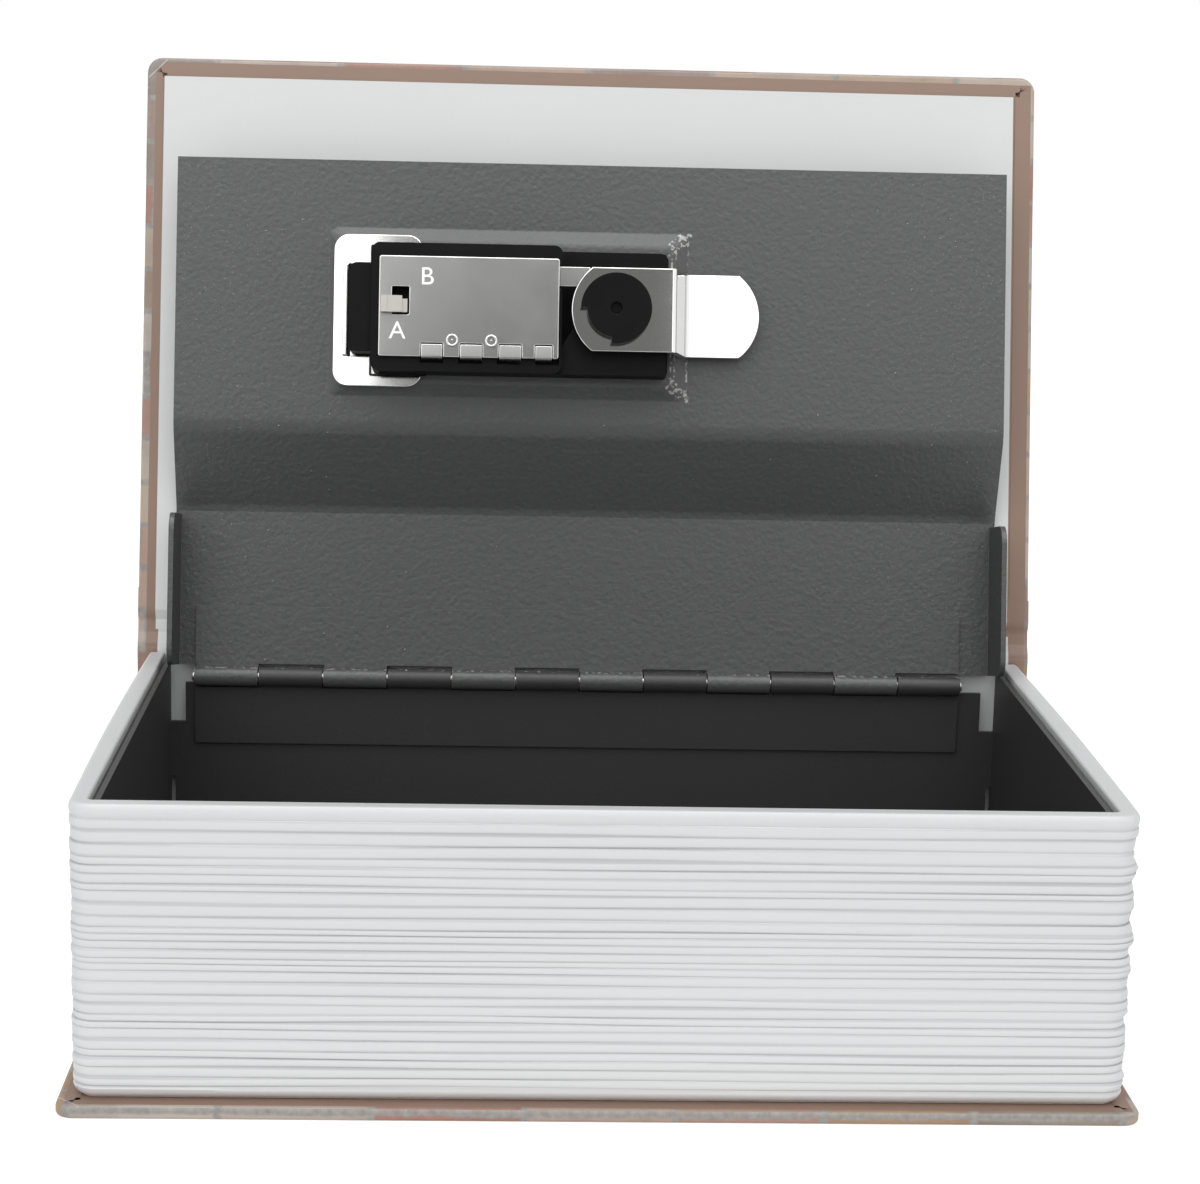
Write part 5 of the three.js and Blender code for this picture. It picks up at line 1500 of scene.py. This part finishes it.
class BOOKSAFE_OT_lock(bpy.types.Operator):
    """Housing, clip, plates, dials, cam and knob of the lock"""

    bl_idname = "book_safe.lock"
    bl_label = "Combination lock"

    def execute(self, context):
        sizes = context.scene.book_safe_sizes
        for make, body, slot, look, node in (
            (("lock_housing_moulded", 0.15 * MM), "lid", "lock_plastic", "plastic", "lock_housing"),
            (faceplate, "lid", "chrome", "chrome", "lock_faceplate"),
            (cover_plate, "lid", "chrome", "plate", "lock_cover_plate"),
            (("lock_clip_chromed", 0.22 * MM, 3), "lid", "chrome", "chrome", "lock_clip"),
            (reset_lever, "reset_lever", "chrome", "lever", "reset_lever"),
            (cam, "lock_cam", "chrome", "cam", "cam_plate"),
            (("stop_disc", 0.2 * MM, 3), "lock_cam", "lock_plastic", "plastic", "cam_screw"),
            (turn_knob, "lock_cam", "chrome", "chrome", "turn_knob"),
        ):
            if callable(make):
                piece = make(sizes)
                piece.data.transform(LID_OPEN)
            else:
                piece = traced(node, *make)
            place(piece, body, slot, look, node)
        for node, radius, axis, flat, body in (
            ("lock_spindle", 3 * MM, 2, 2.2 * MM, "lock_cam"),
            ("dial_axle", 1 * MM, 0, 0, "lid"),
        ):
            bar = round_bar(node, f"{node}_turned", radius, axis, flat)
            bar.data.transform(LID_OPEN)
            place(bar, body, "pin_steel", "steel", node)
        wheel, numbers = dial(), dial_numbers()
        for index in (1, 2, 3):
            low, high = lid_box(f"number_dial_{index}")
            at = LID_OPEN @ Matrix.Translation((low + high) / 2)
            for source, name, look in ((wheel, "dial_wheel", "dial"), (numbers, "dial_numbers", "figures")):
                piece = copied(source, f"{name}_{index}")
                piece.data.transform(at)
                place(piece, f"dial_{index}", "dial_metal", look, *([f"number_dial_{index}"] if source is wheel else []))
        for source in (wheel, numbers):
            bpy.data.objects.remove(source)
        turn = Matrix.Rotation(math.pi, 4, "X")
        marks = []
        for letter, x, y in (("B", 9.3 * MM, 4.1 * MM), ("A", 3.65 * MM, 14.7 * MM)):
            mark = lettering("position_marks", letter, 3.4 * MM, 0.05 * MM)
            mark.data.transform(Matrix.Translation((PLATE[0].x + x, PIVOT.y - sizes.plate_width / 2 + y, PLATE_FACE)) @ turn)
            marks.append(mark)
        marks = joined(*marks)
        marks.data.transform(LID_OPEN)
        place(marks, "lid", "chrome", "marks")
        return {"FINISHED"}


# Stage

def lamp(name, strength, spread, place):
    """A wide soft light that comes from a place towards the object."""
    deselect()
    bpy.ops.object.light_add(type="SUN", location=place)
    made = bpy.context.object
    made.name = made.data.name = name
    made.data.energy = strength
    made.data.angle = spread
    made.rotation_euler = (-Vector(place)).to_track_quat("-Z", "Y").to_euler()


def seen(look):
    """1 for rays that see the background: the camera's, and those of metal and glass."""
    camera, glossy, passed = [
        look.node("ShaderNodeLightPath", {}, {}, f"Is {kind} Ray") for kind in ("Camera", "Glossy", "Transmission")
    ]
    return camera.most(glossy).most(passed)


def card(name, low, high, glow):
    """A glowing card that only metal and gloss see."""
    made = sheet(name, low, high)
    for ray in ("camera", "diffuse", "transmission", "volume_scatter", "shadow"):
        setattr(made, f"visible_{ray}", False)
    colours = {"base_color": (0, 0, 0, 1), "emission_color": (glow, glow, glow, 1), "emission_strength": 1.0}
    made.data.materials.append(Look(name, roughness=1.0, specular_ior_level=0.0, **colours).material)


class BOOKSAFE_OT_stage(bpy.types.Operator):
    """Floor, room, lamps and the camera at the photograph's place"""

    bl_idname = "book_safe.stage"
    bl_label = "Stage and camera"

    def execute(self, context):
        stage = context.scene.book_safe_stage
        deselect()
        bpy.ops.object.camera_add(location=stage.camera)
        camera = context.object
        camera.name = "photo_camera"
        forward = Vector((
            math.sin(stage.yaw) * math.cos(stage.pitch),
            math.cos(stage.yaw) * math.cos(stage.pitch),
            -math.sin(stage.pitch),
        ))
        right = Vector((math.cos(stage.yaw), -math.sin(stage.yaw), 0))
        up = right.cross(forward)
        turned = right * math.cos(stage.roll) + up * math.sin(stage.roll)
        upright = up * math.cos(stage.roll) - right * math.sin(stage.roll)
        camera.rotation_euler = Matrix((turned, upright, -forward)).transposed().to_euler()
        camera.data.lens = stage.lens
        camera.data.sensor_width = 36
        camera.data.clip_start, camera.data.clip_end = 0.01, 50
        context.scene.camera = camera
        floor = primitive("plane", "floor", size=6, location=(0, 0, 0))
        look = Look("floor", base_color=(0.82, 0.82, 0.82, 1), roughness=0.9)
        tree = look.tree
        glow = look.node("ShaderNodeEmission", {}, {"Color": (1, 1, 1, 1), "Strength": 0.6})
        both = look.node("ShaderNodeAddShader", {}, {0: Value(look, look.shader.outputs[0]), 1: glow})
        shown = look.node("ShaderNodeMixShader", {}, {0: seen(look), 1: Value(look, look.shader.outputs[0]), 2: both})
        tree.links.new(shown.socket, tree.nodes["Material Output"].inputs["Surface"])
        floor.data.materials.append(look.material)
        world = bpy.data.worlds.new("white_room")
        world.use_nodes = True
        context.scene.world = world
        room = Look.__new__(Look)
        room.tree = world.node_tree
        background = world.node_tree.nodes["Background"]
        background.inputs["Color"].default_value = (1, 1, 1, 1)
        strength = stage.sky + (1 - stage.sky) * seen(room)
        world.node_tree.links.new(strength.socket, background.inputs["Strength"])
        lamp("key_lamp", stage.key, math.radians(70), (-0.25, -0.75, 0.6))
        lamp("fill_lamp", stage.fill, math.radians(90), (0.5, -0.6, 0.35))
        card("dark_card", (-0.0525, -0.142, 0.142), (0.034, -0.142, 0.244), 0.2)
        card("low_card", (-0.6, -0.62, 0.0), (0.6, -0.62, 0.27), 0.2)
        card("top_card", (-0.3, -0.2, 0.5), (0.3, 0.05, 0.5), 5.0)
        context.scene.view_settings.view_transform = "Standard"
        return {"FINISHED"}


STEPS = (
    BOOKSAFE_OT_stage,
    BOOKSAFE_OT_case,
    BOOKSAFE_OT_pages,
    BOOKSAFE_OT_tray,
    BOOKSAFE_OT_hinge,
    BOOKSAFE_OT_lid,
    BOOKSAFE_OT_lock,
)


class BOOKSAFE_PT_panel(bpy.types.Panel):
    """The steps that build the book safe, in order"""

    bl_label = "Book safe"
    bl_idname = "BOOKSAFE_PT_panel"
    bl_space_type = "VIEW_3D"
    bl_region_type = "UI"
    bl_category = "Book safe"

    def draw(self, context):
        for step in STEPS:
            self.layout.operator(step.bl_idname)
        for group in (context.scene.book_safe_sizes, context.scene.book_safe_colours, context.scene.book_safe_stage):
            for name in group.bl_rna.properties.keys():
                if name not in ("rna_type", "name"):
                    self.layout.prop(group, name)


GROUPS = {
    "book_safe_sizes": BookSafeSizes,
    "book_safe_colours": BookSafeColours,
    "book_safe_stage": BookSafeStage,
}


def register():
    for name, group in GROUPS.items():
        bpy.utils.register_class(group)
        setattr(bpy.types.Scene, name, PointerProperty(type=group))
    for step in STEPS:
        bpy.utils.register_class(step)
    bpy.utils.register_class(BOOKSAFE_PT_panel)


def unregister():
    bpy.utils.unregister_class(BOOKSAFE_PT_panel)
    for step in reversed(STEPS):
        bpy.utils.unregister_class(step)
    for name, group in GROUPS.items():
        delattr(bpy.types.Scene, name)
        bpy.utils.unregister_class(group)


def main():
    register()
    for step in STEPS:
        family, name = step.bl_idname.split(".")
        result = getattr(getattr(bpy.ops, family), name)()
        if result != {"FINISHED"}:
            raise RuntimeError(f"{step.bl_label} didn't finish")
    deselect()


if __name__ == "__main__":
    main()
